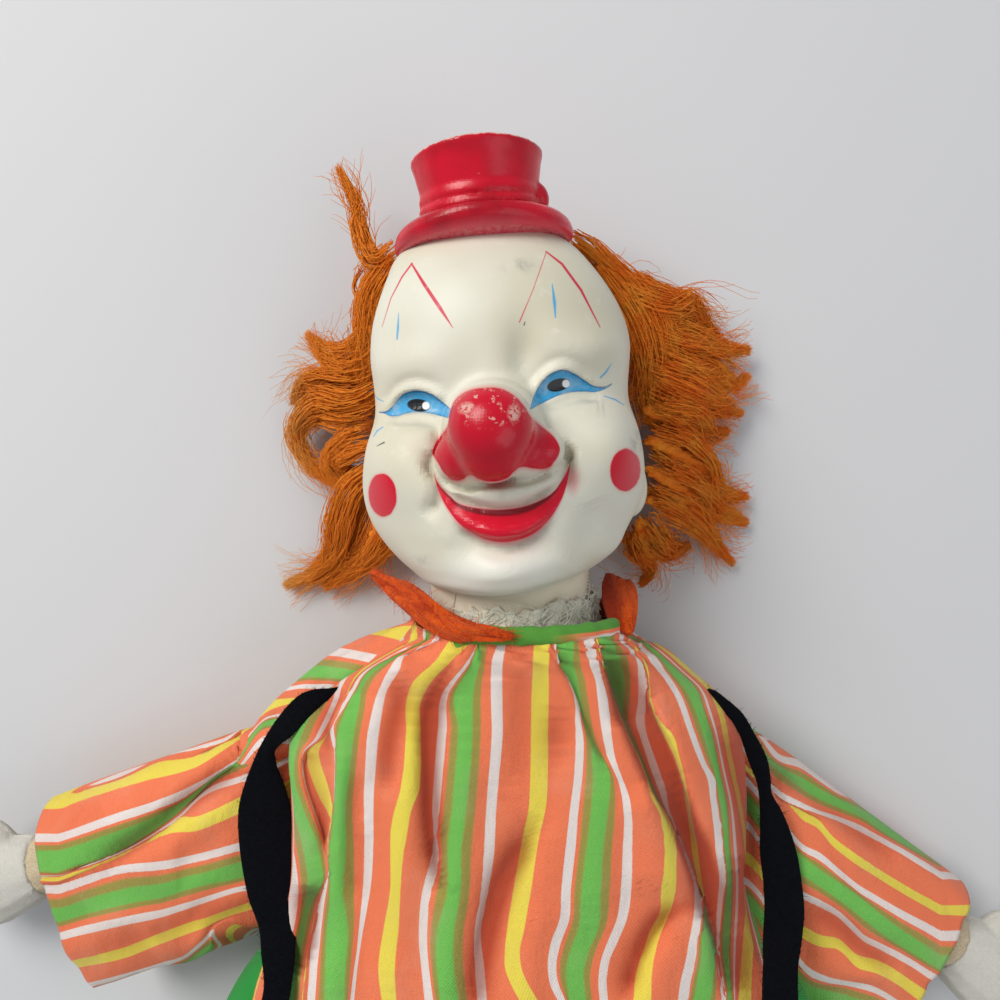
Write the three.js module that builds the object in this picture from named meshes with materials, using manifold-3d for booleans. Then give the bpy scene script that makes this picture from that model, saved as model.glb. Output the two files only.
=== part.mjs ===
import * as THREE from 'three';
import { mergeVertices } from 'three/addons/utils/BufferGeometryUtils.js';
import Module from 'manifold-3d';

const wasm = await Module();
wasm.setup();

// A cloth-bodied clown doll with a hollow moulded head, lying on its back on Z = 0.
// +X is the doll's own left, +Y runs up the body to the hat and +Z comes out of the chest.
// Y = 0 is the middle of the chest. Lengths are in millimetres and angles in degrees.

// Fits and cloth
const fitGap = 0.3;
const bodyCloth = 1.2;
const shirtBulk = 4;
const waistClothBulk = 2.4;

// Stuffed torso
const torsoTop = 54;
const torsoLength = 150;
const torsoHalfWidth = 47;
const torsoHalfDepth = 25.7;
const hipHalfWidth = 52;

// Neck, where the moulded head is tied into the cloth body
const neckRadius = 24.3;
const neckBallRadius = 25;
const neckWall = 3.6;
const neckGroove = 1.8;
const neckAxisHeight = 34;
const neckClothTop = 21.5;
const tieCordRadius = 0.7;

// Head and moulded hat, measured along the head's own axis from the nodding point
const headRoll = 4.5;
const headWall = 2.4;
const chinHeight = 22;
const headHeight = 103;
const headHalfWidth = 41;
const headFront = 35;
const headBack = 33.5;
const headForward = 8;
const noseRadius = 11;
const noseReach = 64;
const nostrilRadius = 5.2;
const hatForward = 12;
const hatTilt = 13.5;
const brimRadius = 26;
const brimThickness = 6.5;
const crownBaseRadius = 17;
const crownTopRadius = 18.8;
const crownHeight = 19.5;
const hatKnobRadius = 3.4;

// Wool hair
const hairReach = 66;
const hairHeight = 31;
const hairPartingHalfWidth = 36;

// Arms, hands and sleeves
const shoulderHeight = 15;
const armAxisHeight = 17.5;
const armRadius = 13;
const armLength = 100;
const rightArmDrop = 20;
const leftArmDrop = 36;
const lowestArmDrop = 50;
const highestArmRise = 55;
const handLength = 38;
const handHalfWidth = 14.5;
const thumbRadius = 5;
const sleeveLength = 92;
const sleeveRootHalfWidth = 17;
const sleeveCuffHalfWidth = 32;
const sleeveHang = 13.5;
const sleeveHalfDepth = 16.8;
const cuffDepth = 14;
const sleeveWall = 2.2;

// Shirt
const shirtHalfWidth = 70;
const shirtFrontHeight = 62.5;
const collarRadius = 30.8;
const bindingRadius = 2.2;
const collarLine = 60;
const frontHem = -66;
const pleatCount = 12;
const pleatDepth = 1.3;

// Legs, shoes and trousers
const hipSpacing = 42.5;
const legRadius = 17;
const legLength = 172;
const trouserLegHalfWidth = 41;
const trouserLegHalfDepth = 19.8;
const trouserLegLength = 166;
const trouserWaist = -44;
const waistbandWidth = 7;
const waistHalfWidth = 64;
const seatHalfWidth = 88;
const seatFrontHeight = 58.5;
const shoeLength = 75;
const shoeHeight = 33;
const shoeHalfWidth = 18;
const soleThickness = 3;
const soleLip = 1.2;

// Felt suspenders and neck strip
const strapWidth = 16;
const strapThickness = 1.5;
const strapBackSpacing = 40.5;
const strapSideReach = 77;
const scarfWidth = 5.5;
const scarfThickness = 1.4;

// Places that follow from the sizes above
const torsoBottom = torsoTop - torsoLength;
const torsoMiddle = shirtBulk + fitGap + torsoHalfDepth;
const neckPivot = new THREE.Vector3(0, torsoTop - 2, neckAxisHeight);
const shoulderSide = torsoHalfWidth + armRadius + 0.4;
const sleeveTop = armAxisHeight + sleeveHalfDepth;
const sideSeam = sleeveTop + 2 * fitGap;
const hipY = torsoBottom - 1.6 - trouserLegHalfDepth - 2 * fitGap;
const hipZ = trouserLegHalfDepth + 0.7;
const waistTop = trouserWaist + waistbandWidth;

// Colours and finishes
const finish = (color, roughness) => new THREE.MeshStandardMaterial({ color, roughness, metalness: 0 });
const creamVinyl = finish(0xe2dccb, 0.42);
const orangeWool = finish(0xe07820, 0.95);
const stripedCotton = finish(0xe8784e, 0.9);
const greenBinding = finish(0x6fb548, 0.9);
const greenTwill = finish(0x2f9f4a, 0.9);
const bodyMuslin = finish(0xe6ddc8, 0.95);
const fillingWhite = finish(0xf2efe6, 1);
const whiteFelt = finish(0xf0ede4, 0.95);
const blackFelt = finish(0x16161a, 0.95);
const orangeFelt = finish(0xe25a1c, 0.95);
const soleFelt = finish(0xd9cba8, 0.95);
const paleCord = finish(0xd6dccb, 0.9);

const rad = THREE.MathUtils.degToRad;

// Joining and cutting
function toSolid(geometry) {
  const bare = new THREE.BufferGeometry();
  bare.setAttribute('position', geometry.attributes.position.clone());
  if (geometry.index) {
    bare.setIndex(geometry.index.clone());
  }
  const merged = mergeVertices(bare, 1e-4);
  const corners = merged.index.array;
  const kept = [];
  for (let i = 0; i < corners.length; i += 3) {
    const [a, b, c] = [corners[i], corners[i + 1], corners[i + 2]];
    if (a !== b && b !== c && c !== a) {
      kept.push(a, b, c);
    }
  }
  return new wasm.Manifold(new wasm.Mesh({
    numProp: 3,
    vertProperties: new Float32Array(merged.attributes.position.array),
    triVerts: new Uint32Array(kept),
  }));
}

function toGeometry(solid) {
  const mesh = solid.getMesh();
  const geometry = new THREE.BufferGeometry();
  geometry.setAttribute('position', new THREE.BufferAttribute(new Float32Array(mesh.vertProperties), 3));
  geometry.setIndex(new THREE.BufferAttribute(new Uint32Array(mesh.triVerts), 1));
  geometry.computeVertexNormals();
  return geometry;
}

const cut = (solid, ...tools) => tools.reduce((left, tool) => left.subtract(tool), solid);
const join = (solid, ...others) => others.reduce((sum, other) => sum.add(other), solid);

function block(x0, x1, y0, y1, z0, z1) {
  const geometry = new THREE.BoxGeometry(x1 - x0, y1 - y0, z1 - z0);
  geometry.translate((x0 + x1) / 2, (y0 + y1) / 2, (z0 + z1) / 2);
  return toSolid(geometry);
}

function ball(radius, x, y, z, sides = 20) {
  const geometry = new THREE.SphereGeometry(radius, sides, Math.round(sides * 0.6));
  geometry.translate(x, y, z);
  return toSolid(geometry);
}

function drum(radius, x, y, z0, z1, sides = 28) {
  const geometry = new THREE.CylinderGeometry(radius, radius, z1 - z0, sides);
  geometry.rotateX(Math.PI / 2);
  geometry.translate(x, y, (z0 + z1) / 2);
  return toSolid(geometry);
}

function rollerAlongX(radius, x0, x1, y, z, sides = 28) {
  const geometry = new THREE.CylinderGeometry(radius, radius, x1 - x0, sides);
  geometry.rotateZ(Math.PI / 2);
  geometry.translate((x0 + x1) / 2, y, z);
  return toSolid(geometry);
}

const turned = (profile, sides) => toSolid(
  new THREE.LatheGeometry(profile.map(([r, v]) => new THREE.Vector2(r, v)), sides),
);

// A closed surface through rings that all have the same number of points
function skin(rings) {
  const count = rings[0].length;
  const places = [];
  rings.flat().forEach((p) => places.push(p.x, p.y, p.z));
  const faces = [];
  for (let k = 0; k + 1 < rings.length; k += 1) {
    for (let i = 0; i < count; i += 1) {
      const a = k * count + i;
      const b = k * count + (i + 1) % count;
      faces.push(a, b, b + count, a, b + count, a + count);
    }
  }
  [0, rings.length - 1].forEach((k) => {
    const middle = rings[k].reduce((sum, p) => sum.add(p), new THREE.Vector3()).divideScalar(count);
    const centre = places.length / 3;
    places.push(middle.x, middle.y, middle.z);
    for (let i = 0; i < count; i += 1) {
      const a = k * count + i;
      const b = k * count + (i + 1) % count;
      faces.push(...(k === 0 ? [centre, b, a] : [centre, a, b]));
    }
  });
  let volume = 0;
  for (let i = 0; i < faces.length; i += 3) {
    const [a, b, c] = [0, 1, 2].map((k) => new THREE.Vector3().fromArray(places, 3 * faces[i + k]));
    volume += a.dot(b.cross(c));
  }
  if (volume < 0) {
    for (let i = 0; i < faces.length; i += 3) {
      [faces[i + 1], faces[i + 2]] = [faces[i + 2], faces[i + 1]];
    }
  }
  const geometry = new THREE.BufferGeometry();
  geometry.setAttribute('position', new THREE.Float32BufferAttribute(places, 3));
  geometry.setIndex(faces);
  return geometry;
}

// A soft form along Y. A station is [y, side, front, back, z, x]: how far the section reaches
// to each side, to the front and to the back of its middle at z and x.
function softForm(stations, options = {}) {
  const { sides = 20, steps = 12, fullness = 2, ripple = () => 0 } = options;
  const curve = (pick) => new THREE.CatmullRomCurve3(
    stations.map((s) => new THREE.Vector3(...pick(s))),
    false,
    'catmullrom',
    0.5,
  );
  return {
    sides,
    steps,
    fullness,
    ripple,
    middle: curve(([y, , , , z = 0, x = 0]) => [x, y, z]),
    reach: curve(([, side, front, back = front]) => [side, front, back]),
  };
}

const power = (value, exponent) => Math.sign(value) * Math.abs(value) ** exponent;

function sectionAt(form, t) {
  return { middle: form.middle.getPoint(t), reach: form.reach.getPoint(t) };
}

function sectionAtY(form, y) {
  const down = form.middle.getPoint(1).y < form.middle.getPoint(0).y;
  let [low, high] = [0, 1];
  for (let i = 0; i < 30; i += 1) {
    const t = (low + high) / 2;
    const before = down ? form.middle.getPoint(t).y > y : form.middle.getPoint(t).y < y;
    [low, high] = before ? [t, high] : [low, t];
  }
  return sectionAt(form, low);
}

// The height of a form's front (+1) or back (-1) at a place on it
function heightOf(form, x, y, face) {
  const { middle, reach } = sectionAtY(form, y);
  const share = Math.min(Math.abs(x - middle.x) / reach.x, 1) ** form.fullness;
  const depth = face > 0 ? reach.y : reach.z;
  return middle.z + face * depth * (1 - share) ** (1 / form.fullness);
}

function ringOf(form, t, grow) {
  const { middle, reach } = sectionAt(form, t);
  return Array.from({ length: form.sides }, (_, i) => {
    const angle = (2 * Math.PI * i) / form.sides;
    const depth = Math.sin(angle) > 0 ? reach.y : reach.z;
    const x = (reach.x + grow) * power(Math.cos(angle), 2 / form.fullness);
    const z = (depth + grow) * power(Math.sin(angle), 2 / form.fullness);
    const scale = 1 + form.ripple(angle, t) / Math.hypot(x, z);
    return new THREE.Vector3(middle.x + x * scale, middle.y, middle.z + z * scale);
  });
}

// The form as a geometry, grown all round and at its ends, or shrunk where grow is negative
function shapeOf(form, grow = 0) {
  const rings = Array.from({ length: form.steps + 1 }, (_, k) => ringOf(form, k / form.steps, grow));
  const up = Math.sign(rings[form.steps][0].y - rings[0][0].y);
  rings[0].forEach((p) => {
    p.y -= up * grow;
  });
  rings[form.steps].forEach((p) => {
    p.y += up * grow;
  });
  return skin(rings);
}

const solidOf = (form, grow = 0) => toSolid(shapeOf(form, grow));

// The same form with half as many faces each way, whose corners lie on the fine one's
const halved = (form) => ({ ...form, sides: form.sides / 2, steps: form.steps / 2 });

// A flat strip along a route of [place, facing] pairs, with its width drawn in at the tips
function strip(route, { width, thickness, steps, grow = 0, tips = () => 1 }) {
  const curve = (k) => new THREE.CatmullRomCurve3(route.map((r) => r[k]), false, 'catmullrom', 0.5);
  const [path, facing] = [curve(0), curve(1)];
  const rings = Array.from({ length: steps + 1 }, (_, k) => {
    const t = k / steps;
    const middle = path.getPoint(t);
    const ahead = path.getTangent(t);
    const out = facing.getPoint(t);
    out.addScaledVector(ahead, -out.dot(ahead)).normalize();
    const across = new THREE.Vector3().crossVectors(ahead, out);
    middle.addScaledVector(ahead, k === 0 ? -grow : k === steps ? grow : 0);
    const half = (width / 2) * tips(t) + grow;
    const rise = thickness / 2 + grow;
    return [[1, 1], [-1, 1], [-1, -1], [1, -1]].map(([a, b]) => middle.clone()
      .addScaledVector(across, a * half)
      .addScaledVector(out, b * rise));
  });
  return toSolid(skin(rings));
}

const vector = (x, y, z) => new THREE.Vector3(x, y, z);

function mirrored(geometry) {
  geometry.scale(-1, 1, 1);
  const order = geometry.index.array;
  for (let i = 0; i < order.length; i += 3) {
    [order[i + 1], order[i + 2]] = [order[i + 2], order[i + 1]];
  }
  return geometry;
}

function piece(name, solid, material, side = 1) {
  const geometry = toGeometry(solid);
  const mesh = new THREE.Mesh(side < 0 ? mirrored(geometry) : geometry, material);
  mesh.name = name;
  return mesh;
}

const doll = new THREE.Group();
const neck = new THREE.Group();
neck.position.copy(neckPivot);
neck.rotation.z = rad(headRoll);
doll.add(neck);

// The stuffed torso narrows at the neck, where the ball of the moulded neck sits in it
const down = (share) => torsoTop - share * torsoLength;
const neckEnd = neckBallRadius + fitGap + bodyCloth + 0.7;
const torsoForm = softForm([
  [down(0), neckEnd, neckEnd, neckEnd, neckAxisHeight],
  [down(0.07), torsoHalfWidth * 0.84, torsoHalfDepth + 0.6, torsoHalfDepth, torsoMiddle + 1],
  [down(0.17), torsoHalfWidth, torsoHalfDepth, torsoHalfDepth, torsoMiddle],
  [down(0.4), torsoHalfWidth, torsoHalfDepth, torsoHalfDepth, torsoMiddle],
  [down(0.64), (torsoHalfWidth + hipHalfWidth) / 2, torsoHalfDepth - 0.8, torsoHalfDepth, torsoMiddle],
  [down(0.86), hipHalfWidth, torsoHalfDepth - 2.5, torsoHalfDepth - 0.8, torsoMiddle],
  [down(0.97), hipHalfWidth * 0.86, torsoHalfDepth * 0.74, torsoHalfDepth * 0.78, torsoMiddle],
  [down(1), hipHalfWidth * 0.56, torsoHalfDepth * 0.46, torsoHalfDepth * 0.46, torsoMiddle],
], { sides: 20, steps: 10, fullness: 2.2 });
const socketSides = 20;
const socketRadius = (neckBallRadius + fitGap) / Math.cos(Math.PI / socketSides) ** 2;
const neckSocket = ball(socketRadius, neckPivot.x, neckPivot.y, neckPivot.z, socketSides);
const stuffingTop = neckPivot.y - neckBallRadius * 0.64;
const torsoInside = solidOf(torsoForm, -bodyCloth);
const torsoCover = cut(solidOf(torsoForm), torsoInside, neckSocket);
const torsoStuffing = cut(
  solidOf(halved(torsoForm), -bodyCloth - 3 * fitGap),
  neckSocket,
  block(-hipHalfWidth * 2, hipHalfWidth * 2, stuffingTop, torsoTop + 20, -20, 120),
);
const torsoRoom = solidOf(torsoForm, fitGap);
doll.add(piece('torso_cover', torsoCover, bodyMuslin));
doll.add(piece('torso_stuffing', torsoStuffing, fillingWhite));

// A sleeve is narrow at its root, widens below the arm and hangs from it down to the open cuff
const sleeveStation = (along, widening, depth) => [
  sleeveLength * along,
  sleeveRootHalfWidth + widening * (sleeveCuffHalfWidth - sleeveRootHalfWidth),
  depth,
  depth,
  0,
  sleeveHang * widening,
];
const sleeveForm = softForm([
  sleeveStation(0.02, 0, sleeveHalfDepth),
  sleeveStation(0.12, 0.24, sleeveHalfDepth),
  sleeveStation(0.28, 0.76, sleeveHalfDepth),
  sleeveStation(0.46, 1, sleeveHalfDepth),
  sleeveStation(0.76, 1, sleeveHalfDepth - 1),
  sleeveStation(1, 0.96, sleeveHalfDepth - 2),
], {
  sides: 20,
  steps: 6,
  fullness: 2.4,
  ripple: (angle, t) => 0.9 * t * Math.cos(5 * angle),
});
const armForm = softForm([
  [-armRadius, armRadius * 0.22, armRadius * 0.22],
  [-armRadius * 0.72, armRadius * 0.7, armRadius * 0.7],
  [0, armRadius, armRadius],
  [armLength * 0.3, armRadius + 0.4, armRadius + 0.4],
  [armLength * 0.7, armRadius - 1, armRadius - 1],
  [armLength, armRadius - 3, armRadius - 3],
], { sides: 12, steps: 6 });
const handForm = softForm([
  [armLength + fitGap, armRadius - 3, armRadius - 3.4],
  [armLength + handLength * 0.25, handHalfWidth - 2, armRadius - 3.6],
  [armLength + handLength * 0.6, handHalfWidth, armRadius - 3.4],
  [armLength + handLength * 0.88, handHalfWidth * 0.72, armRadius - 6],
  [armLength + handLength, handHalfWidth * 0.25, armRadius - 10],
], { sides: 12, steps: 5 });

// Forms run along Y, so arms are laid along X afterwards
function alongArm(form, grow = 0) {
  const geometry = shapeOf(form, grow);
  geometry.rotateZ(-Math.PI / 2);
  return toSolid(geometry);
}

const armEnd = block(armLength - bodyCloth * 2, armLength + 5, -40, 40, -40, 40);
const armCover = cut(alongArm(armForm), alongArm(armForm, -bodyCloth), block(
  armLength - bodyCloth * 2,
  armLength + 5,
  -armRadius * 0.5,
  armRadius * 0.5,
  -armRadius * 0.5,
  armRadius * 0.5,
));
const armStuffing = cut(alongArm(halved(armForm), -bodyCloth - fitGap), armEnd);
const hand = join(alongArm(handForm), toSolid(
  new THREE.SphereGeometry(1, 8, 6)
    .scale(thumbRadius * 1.9, thumbRadius, thumbRadius)
    .rotateZ(rad(48))
    .translate(armLength + handLength * 0.36, handHalfWidth, 0),
));
const cuffStation = (y, inset) => [
  y,
  sleeveCuffHalfWidth - sleeveWall - inset,
  sleeveHalfDepth - sleeveWall - inset,
  sleeveHalfDepth - sleeveWall - inset,
  0,
  sleeveHang,
];
const cuffForm = softForm([
  cuffStation(sleeveLength - cuffDepth, 5),
  cuffStation(sleeveLength + 2, 2),
], { sides: 16, steps: 1, fullness: 2.4 });
const sleeve = cut(alongArm(sleeveForm), alongArm(armForm, fitGap), alongArm(cuffForm));

// The space that a sleeve sweeps through between its lowest and highest place
function sleeveSweep(side) {
  const turn = (angle, x, y) => new THREE.Vector2(
    side * (shoulderSide + x * Math.cos(angle) - y * Math.sin(angle)),
    shoulderHeight + x * Math.sin(angle) + y * Math.cos(angle),
  );
  const edge = Array.from({ length: sleeveForm.steps + 1 }, (_, k) => {
    const ring = ringOf(sleeveForm, k / sleeveForm.steps, 0);
    const across = ring.map((p) => p.x);
    return [ring[0].y, Math.max(...across) + 2 * fitGap, 2 * fitGap - Math.min(...across)];
  });
  edge[0][0] -= fitGap;
  edge.push([sleeveLength * 1.6, ...edge[sleeveForm.steps].slice(1)]);
  const low = edge.map(([x, below]) => turn(-rad(lowestArmDrop), x, -below));
  const high = edge.map(([x, , above]) => turn(rad(highestArmRise), x, above));
  const outline = new THREE.Shape([...low, turn(0, sleeveLength * 2, 0), ...high.reverse()]);
  const height = sleeveTop + fitGap + 1;
  const geometry = new THREE.ExtrudeGeometry(outline, { depth: height, bevelEnabled: false });
  geometry.translate(0, 0, -1);
  const root = Math.hypot(sleeveRootHalfWidth, 2) + 2 * fitGap;
  return join(toSolid(geometry), drum(root, side * shoulderSide, shoulderHeight, -1, height - 1));
}
const sleeveRoom = [1, -1].map(sleeveSweep);

[['left', 1, leftArmDrop], ['right', -1, rightArmDrop]].forEach(([name, side, drop]) => {
  const arm = new THREE.Group();
  arm.position.set(side * shoulderSide, shoulderHeight, armAxisHeight);
  arm.rotation.z = -side * rad(drop);
  arm.add(piece(`arm_cover_${name}`, armCover, bodyMuslin, side));
  arm.add(piece(`arm_stuffing_${name}`, armStuffing, fillingWhite, side));
  arm.add(piece(`hand_${name}`, hand, whiteFelt, side));
  arm.add(piece(`sleeve_${name}`, sleeve, stripedCotton, side));
  doll.add(arm);
});

// Baggy trousers: an elastic waist, a wide seat, and legs that fold up at the hips
const seatMiddle = seatFrontHeight / 2;
const seatForm = softForm([
  [trouserWaist, waistHalfWidth + 2, seatMiddle - 0.6, seatMiddle - 0.6, seatMiddle],
  [trouserWaist - 7, seatHalfWidth * 0.9, seatMiddle, seatMiddle, seatMiddle],
  [trouserWaist - 20, seatHalfWidth, seatMiddle, seatMiddle, seatMiddle],
  [torsoBottom + 14, seatHalfWidth, seatMiddle - 2, seatMiddle, seatMiddle],
  [torsoBottom - 1, seatHalfWidth, seatMiddle - 9, seatMiddle, seatMiddle],
  [hipY + 7, seatHalfWidth - 1, seatMiddle - 14, seatMiddle, seatMiddle],
], {
  sides: 32,
  steps: 6,
  fullness: 2.7,
  ripple: (angle) => 0.9 * Math.max(Math.sin(angle), 0) * Math.cos(8 * angle),
});
const hipRoom = [
  rollerAlongX(trouserLegHalfDepth + fitGap, -seatHalfWidth * 1.2, seatHalfWidth * 1.2, hipY, hipZ),
  block(
    -seatHalfWidth * 1.2,
    seatHalfWidth * 1.2,
    hipY - 60,
    hipY + trouserLegHalfDepth + 2 * fitGap,
    hipZ,
    hipZ + 90,
  ),
];
const waistDepth = torsoHalfDepth + waistClothBulk;
const waistForm = softForm([trouserWaist + fitGap, waistTop].map(
  (y) => [y, waistHalfWidth, waistDepth, waistDepth, torsoMiddle],
), { sides: 20, steps: 1, fullness: 2.4 });
const belowFloor = block(-300, 300, -400, 300, -50, 0);

// The shirt's outline, which the suspenders follow over the shoulder and down the back
const shirtBase = shirtFrontHeight / 2;
const shirtForm = softForm([
  [collarLine - bindingRadius - 2 * fitGap, collarRadius + bindingRadius, 32, 33.4, neckAxisHeight],
  [torsoTop - 4, shirtHalfWidth * 0.7, shirtBase + 1, shirtBase + 0.8, shirtBase],
  [torsoTop - 16, shirtHalfWidth * 0.92, shirtBase + 0.6, shirtBase + 0.8, shirtBase],
  [torsoTop - 36, shirtHalfWidth, shirtBase, shirtBase + 0.8, shirtBase],
  [0, shirtHalfWidth, shirtBase, shirtBase + 0.8, shirtBase],
  [waistTop + 14, shirtHalfWidth, shirtBase, shirtBase + 0.8, shirtBase],
  [trouserWaist - 4, shirtHalfWidth, shirtBase + 0.2, shirtBase + 0.8, shirtBase],
  [frontHem, shirtHalfWidth, shirtBase + 0.6, shirtBase + 0.8, shirtBase],
], {
  sides: 48,
  steps: 7,
  fullness: 2.4,
  ripple: (angle, t) => {
    const front = Math.max(Math.sin(angle), 0);
    const strength = 0.55 + 0.6 * Math.abs(t - 0.45);
    return pleatDepth * front * strength * Math.cos(pleatCount * angle);
  },
});

function shoulderLine(x, z) {
  let [low, high] = [torsoTop - 36, collarLine - bindingRadius - 2 * fitGap];
  for (let i = 0; i < 24; i += 1) {
    const y = (low + high) / 2;
    const { middle, reach } = sectionAtY(shirtForm, y);
    const share = Math.min(Math.abs(z - middle.z) / (z > middle.z ? reach.y : reach.z), 1);
    const side = reach.x * (1 - share ** shirtForm.fullness) ** (1 / shirtForm.fullness);
    [low, high] = side > x ? [y, high] : [low, y];
  }
  return low;
}

const strapLift = strapThickness / 2 + fitGap;
const onSeat = (x, y) => vector(x, y, heightOf(seatForm, x, y, 1) + strapLift);
const onSleeve = sleeveTop + 1.2 + strapThickness / 2;
const alongSleeve = (share) => shoulderHeight + share * sleeveRootHalfWidth;
const underShirt = (y) => vector(
  strapBackSpacing,
  y,
  heightOf(shirtForm, strapBackSpacing, y, -1) - strapThickness / 2,
);
const overShoulder = (x, z) => vector(x, shoulderLine(x, z) + strapThickness * 0.8, z);
const strapRoute = [
  [onSeat(strapSideReach - 8, trouserWaist - 30), vector(0.6, 0, 0.8)],
  [onSeat(strapSideReach - 7, trouserWaist - 15), vector(0.55, 0, 0.84)],
  [vector(strapSideReach - 5.5, trouserWaist, onSleeve + 5), vector(0.3, 0, 0.95)],
  [vector(strapSideReach - 2, trouserWaist + 22, onSleeve), vector(0.05, 0, 1)],
  [vector(strapSideReach, 4, onSleeve), vector(0, 0, 1)],
  [vector(strapSideReach - 4, alongSleeve(0.5), onSleeve + 3), vector(0.2, 0.15, 0.97)],
  [vector(strapSideReach - 15, alongSleeve(1.4), onSleeve + 9), vector(0.45, 0.35, 0.82)],
  [overShoulder(strapBackSpacing + 14, sideSeam + 5), vector(0.55, 0.62, 0.55)],
  [overShoulder(strapBackSpacing + 9, sideSeam - 7), vector(0.55, 0.83, 0.1)],
  [overShoulder(strapBackSpacing + 4.5, sideSeam / 2 - 2), vector(0.5, 0.75, -0.4)],
  [underShirt(torsoTop - 10), vector(0.35, 0.4, -0.84)],
  [underShirt(torsoTop - 24), vector(0.18, 0.1, -0.98)],
  [underShirt(6), vector(0.18, 0, -0.98)],
  [underShirt(waistTop + 3), vector(0.18, 0, -0.98)],
];
const strap = (grow) => strip(strapRoute, {
  width: strapWidth,
  thickness: strapThickness,
  steps: 32,
  grow,
});
const suspender = strap(0);
const strapRoom = toGeometry(strap(fitGap));
const strapRooms = [toSolid(strapRoom), toSolid(mirrored(strapRoom.clone()))];
doll.add(piece('suspender_left', suspender, blackFelt, 1));
doll.add(piece('suspender_right', suspender, blackFelt, -1));

const trouserRooms = [torsoRoom, ...sleeveRoom, ...strapRooms, belowFloor];
const trousersSeat = cut(solidOf(seatForm), ...hipRoom, ...trouserRooms);
const waistband = cut(solidOf(waistForm), ...trouserRooms);
doll.add(piece('trousers_seat', trousersSeat, greenTwill));
doll.add(piece('waistband', waistband, greenTwill));

// The shirt: a front panel in gathered pleats, and a back panel with a flat to lie on
const neckRoom = toSolid(new THREE.CylinderGeometry(
  collarRadius - bindingRadius,
  collarRadius - bindingRadius,
  neckBallRadius,
  28,
).translate(0, neckPivot.y + neckBallRadius / 2, neckAxisHeight));
const shirtRooms = [torsoRoom, neckRoom, ...strapRooms, belowFloor];
const wide = shirtHalfWidth * 2;
const shirtFront = cut(
  solidOf(shirtForm),
  ...shirtRooms,
  block(-wide, wide, frontHem - 20, collarLine + 20, -20, sideSeam),
  solidOf(seatForm, fitGap),
  solidOf(waistForm, fitGap),
);
const shirtBack = cut(
  solidOf({ ...shirtForm, sides: shirtForm.sides / 2 }),
  ...shirtRooms,
  block(-wide, wide, frontHem - 20, collarLine + 20, sideSeam - fitGap, 120),
  block(-wide, wide, frontHem - 20, waistTop + fitGap, -20, 120),
  ...sleeveRoom,
);
doll.add(piece('shirt_front', shirtFront, stripedCotton));
doll.add(piece('shirt_back', shirtBack, stripedCotton));

const binding = new THREE.TorusGeometry(collarRadius, bindingRadius, 6, 24);
binding.rotateX(Math.PI / 2);
binding.translate(0, collarLine, neckAxisHeight);
doll.add(piece('neck_binding', toSolid(binding), greenBinding));

// A narrow felt strip goes round the back of the neck above the collar, with two loose ends
const scarfLine = collarLine + bindingRadius + scarfWidth / 2 + fitGap;
const scarfRing = collarRadius + scarfThickness / 2 - 0.6;
const aroundNeck = (angle) => {
  const out = vector(Math.cos(rad(angle)), 0, Math.sin(rad(angle)));
  const place = out.clone().multiplyScalar(scarfRing);
  place.add(vector(0, scarfLine, neckAxisHeight));
  return [place, out];
};
const scarfWrap = [140, 165, 190, 215, 240, 265, 290, 315, 340, 362].map(aroundNeck);
const scarfTip = [
  [vector(-scarfRing - 15, scarfLine + 12, neckAxisHeight + 4), vector(-0.45, 0.2, 0.87)],
  [vector(-scarfRing - 6, scarfLine + 6, neckAxisHeight + 12), vector(-0.5, 0.15, 0.85)],
  [vector(-scarfRing + 3, scarfLine + 1.2, neckAxisHeight + 18), vector(-0.6, 0.1, 0.8)],
];
const scarfTail = [
  [vector(scarfRing + 2.5, scarfLine + 4, neckAxisHeight + 4), vector(0.98, 0, 0.2)],
  [vector(scarfRing + 5, scarfLine + 9, neckAxisHeight + 7), vector(0.95, 0, 0.3)],
];
const scarf = strip([...scarfTip, ...scarfWrap, ...scarfTail], {
  width: scarfWidth,
  thickness: scarfThickness,
  steps: 32,
  tips: (t) => Math.min(1, 0.25 + 9 * t),
});
doll.add(piece('neck_scarf', scarf, orangeFelt));

// The hollow head: an egg with a nose, a neck that ends in a ball, and a hat in the same moulding
const crownLine = chinHeight + headHeight;
const up = (share) => chinHeight + share * headHeight;
const headForm = softForm([
  [up(0), headHalfWidth * 0.3, headFront * 0.5, headBack * 0.3, headForward],
  [up(0.05), headHalfWidth * 0.6, headFront * 0.76, headBack * 0.66, headForward],
  [up(0.13), headHalfWidth * 0.81, headFront * 0.92, headBack * 0.84, headForward],
  [up(0.31), headHalfWidth, headFront, headBack, headForward],
  [up(0.49), headHalfWidth * 0.93, headFront * 0.96, headBack + 0.5, headForward],
  [up(0.68), headHalfWidth * 0.925, headFront * 0.94, headBack + 0.5, headForward],
  [up(0.83), headHalfWidth * 0.835, headFront * 0.82, headBack * 0.94, headForward],
  [up(0.94), headHalfWidth * 0.66, headFront * 0.6, headBack * 0.76, headForward],
  [up(1), headHalfWidth * 0.3, headFront * 0.26, headBack * 0.36, headForward],
], { sides: 24, steps: 14, fullness: 2.1 });
const grooveRadius = neckRadius - neckGroove;
const flangeStart = -neckBallRadius * 0.56;
const neckInside = neckRadius - neckWall;
const ballArc = Array.from({ length: 5 }, (_, k) => {
  const v = flangeStart + (k / 4) * (neckBallRadius * 0.24 - flangeStart);
  return [Math.sqrt(neckBallRadius ** 2 - v ** 2), v];
});
const neckTube = turned([
  [0, flangeStart],
  ...ballArc,
  [grooveRadius, neckClothTop - 12],
  [grooveRadius, neckClothTop - 4.2],
  [neckRadius, neckClothTop - 0.6],
  [neckRadius, chinHeight + headHeight * 0.2],
  [0, chinHeight + headHeight * 0.2],
], 24);
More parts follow.
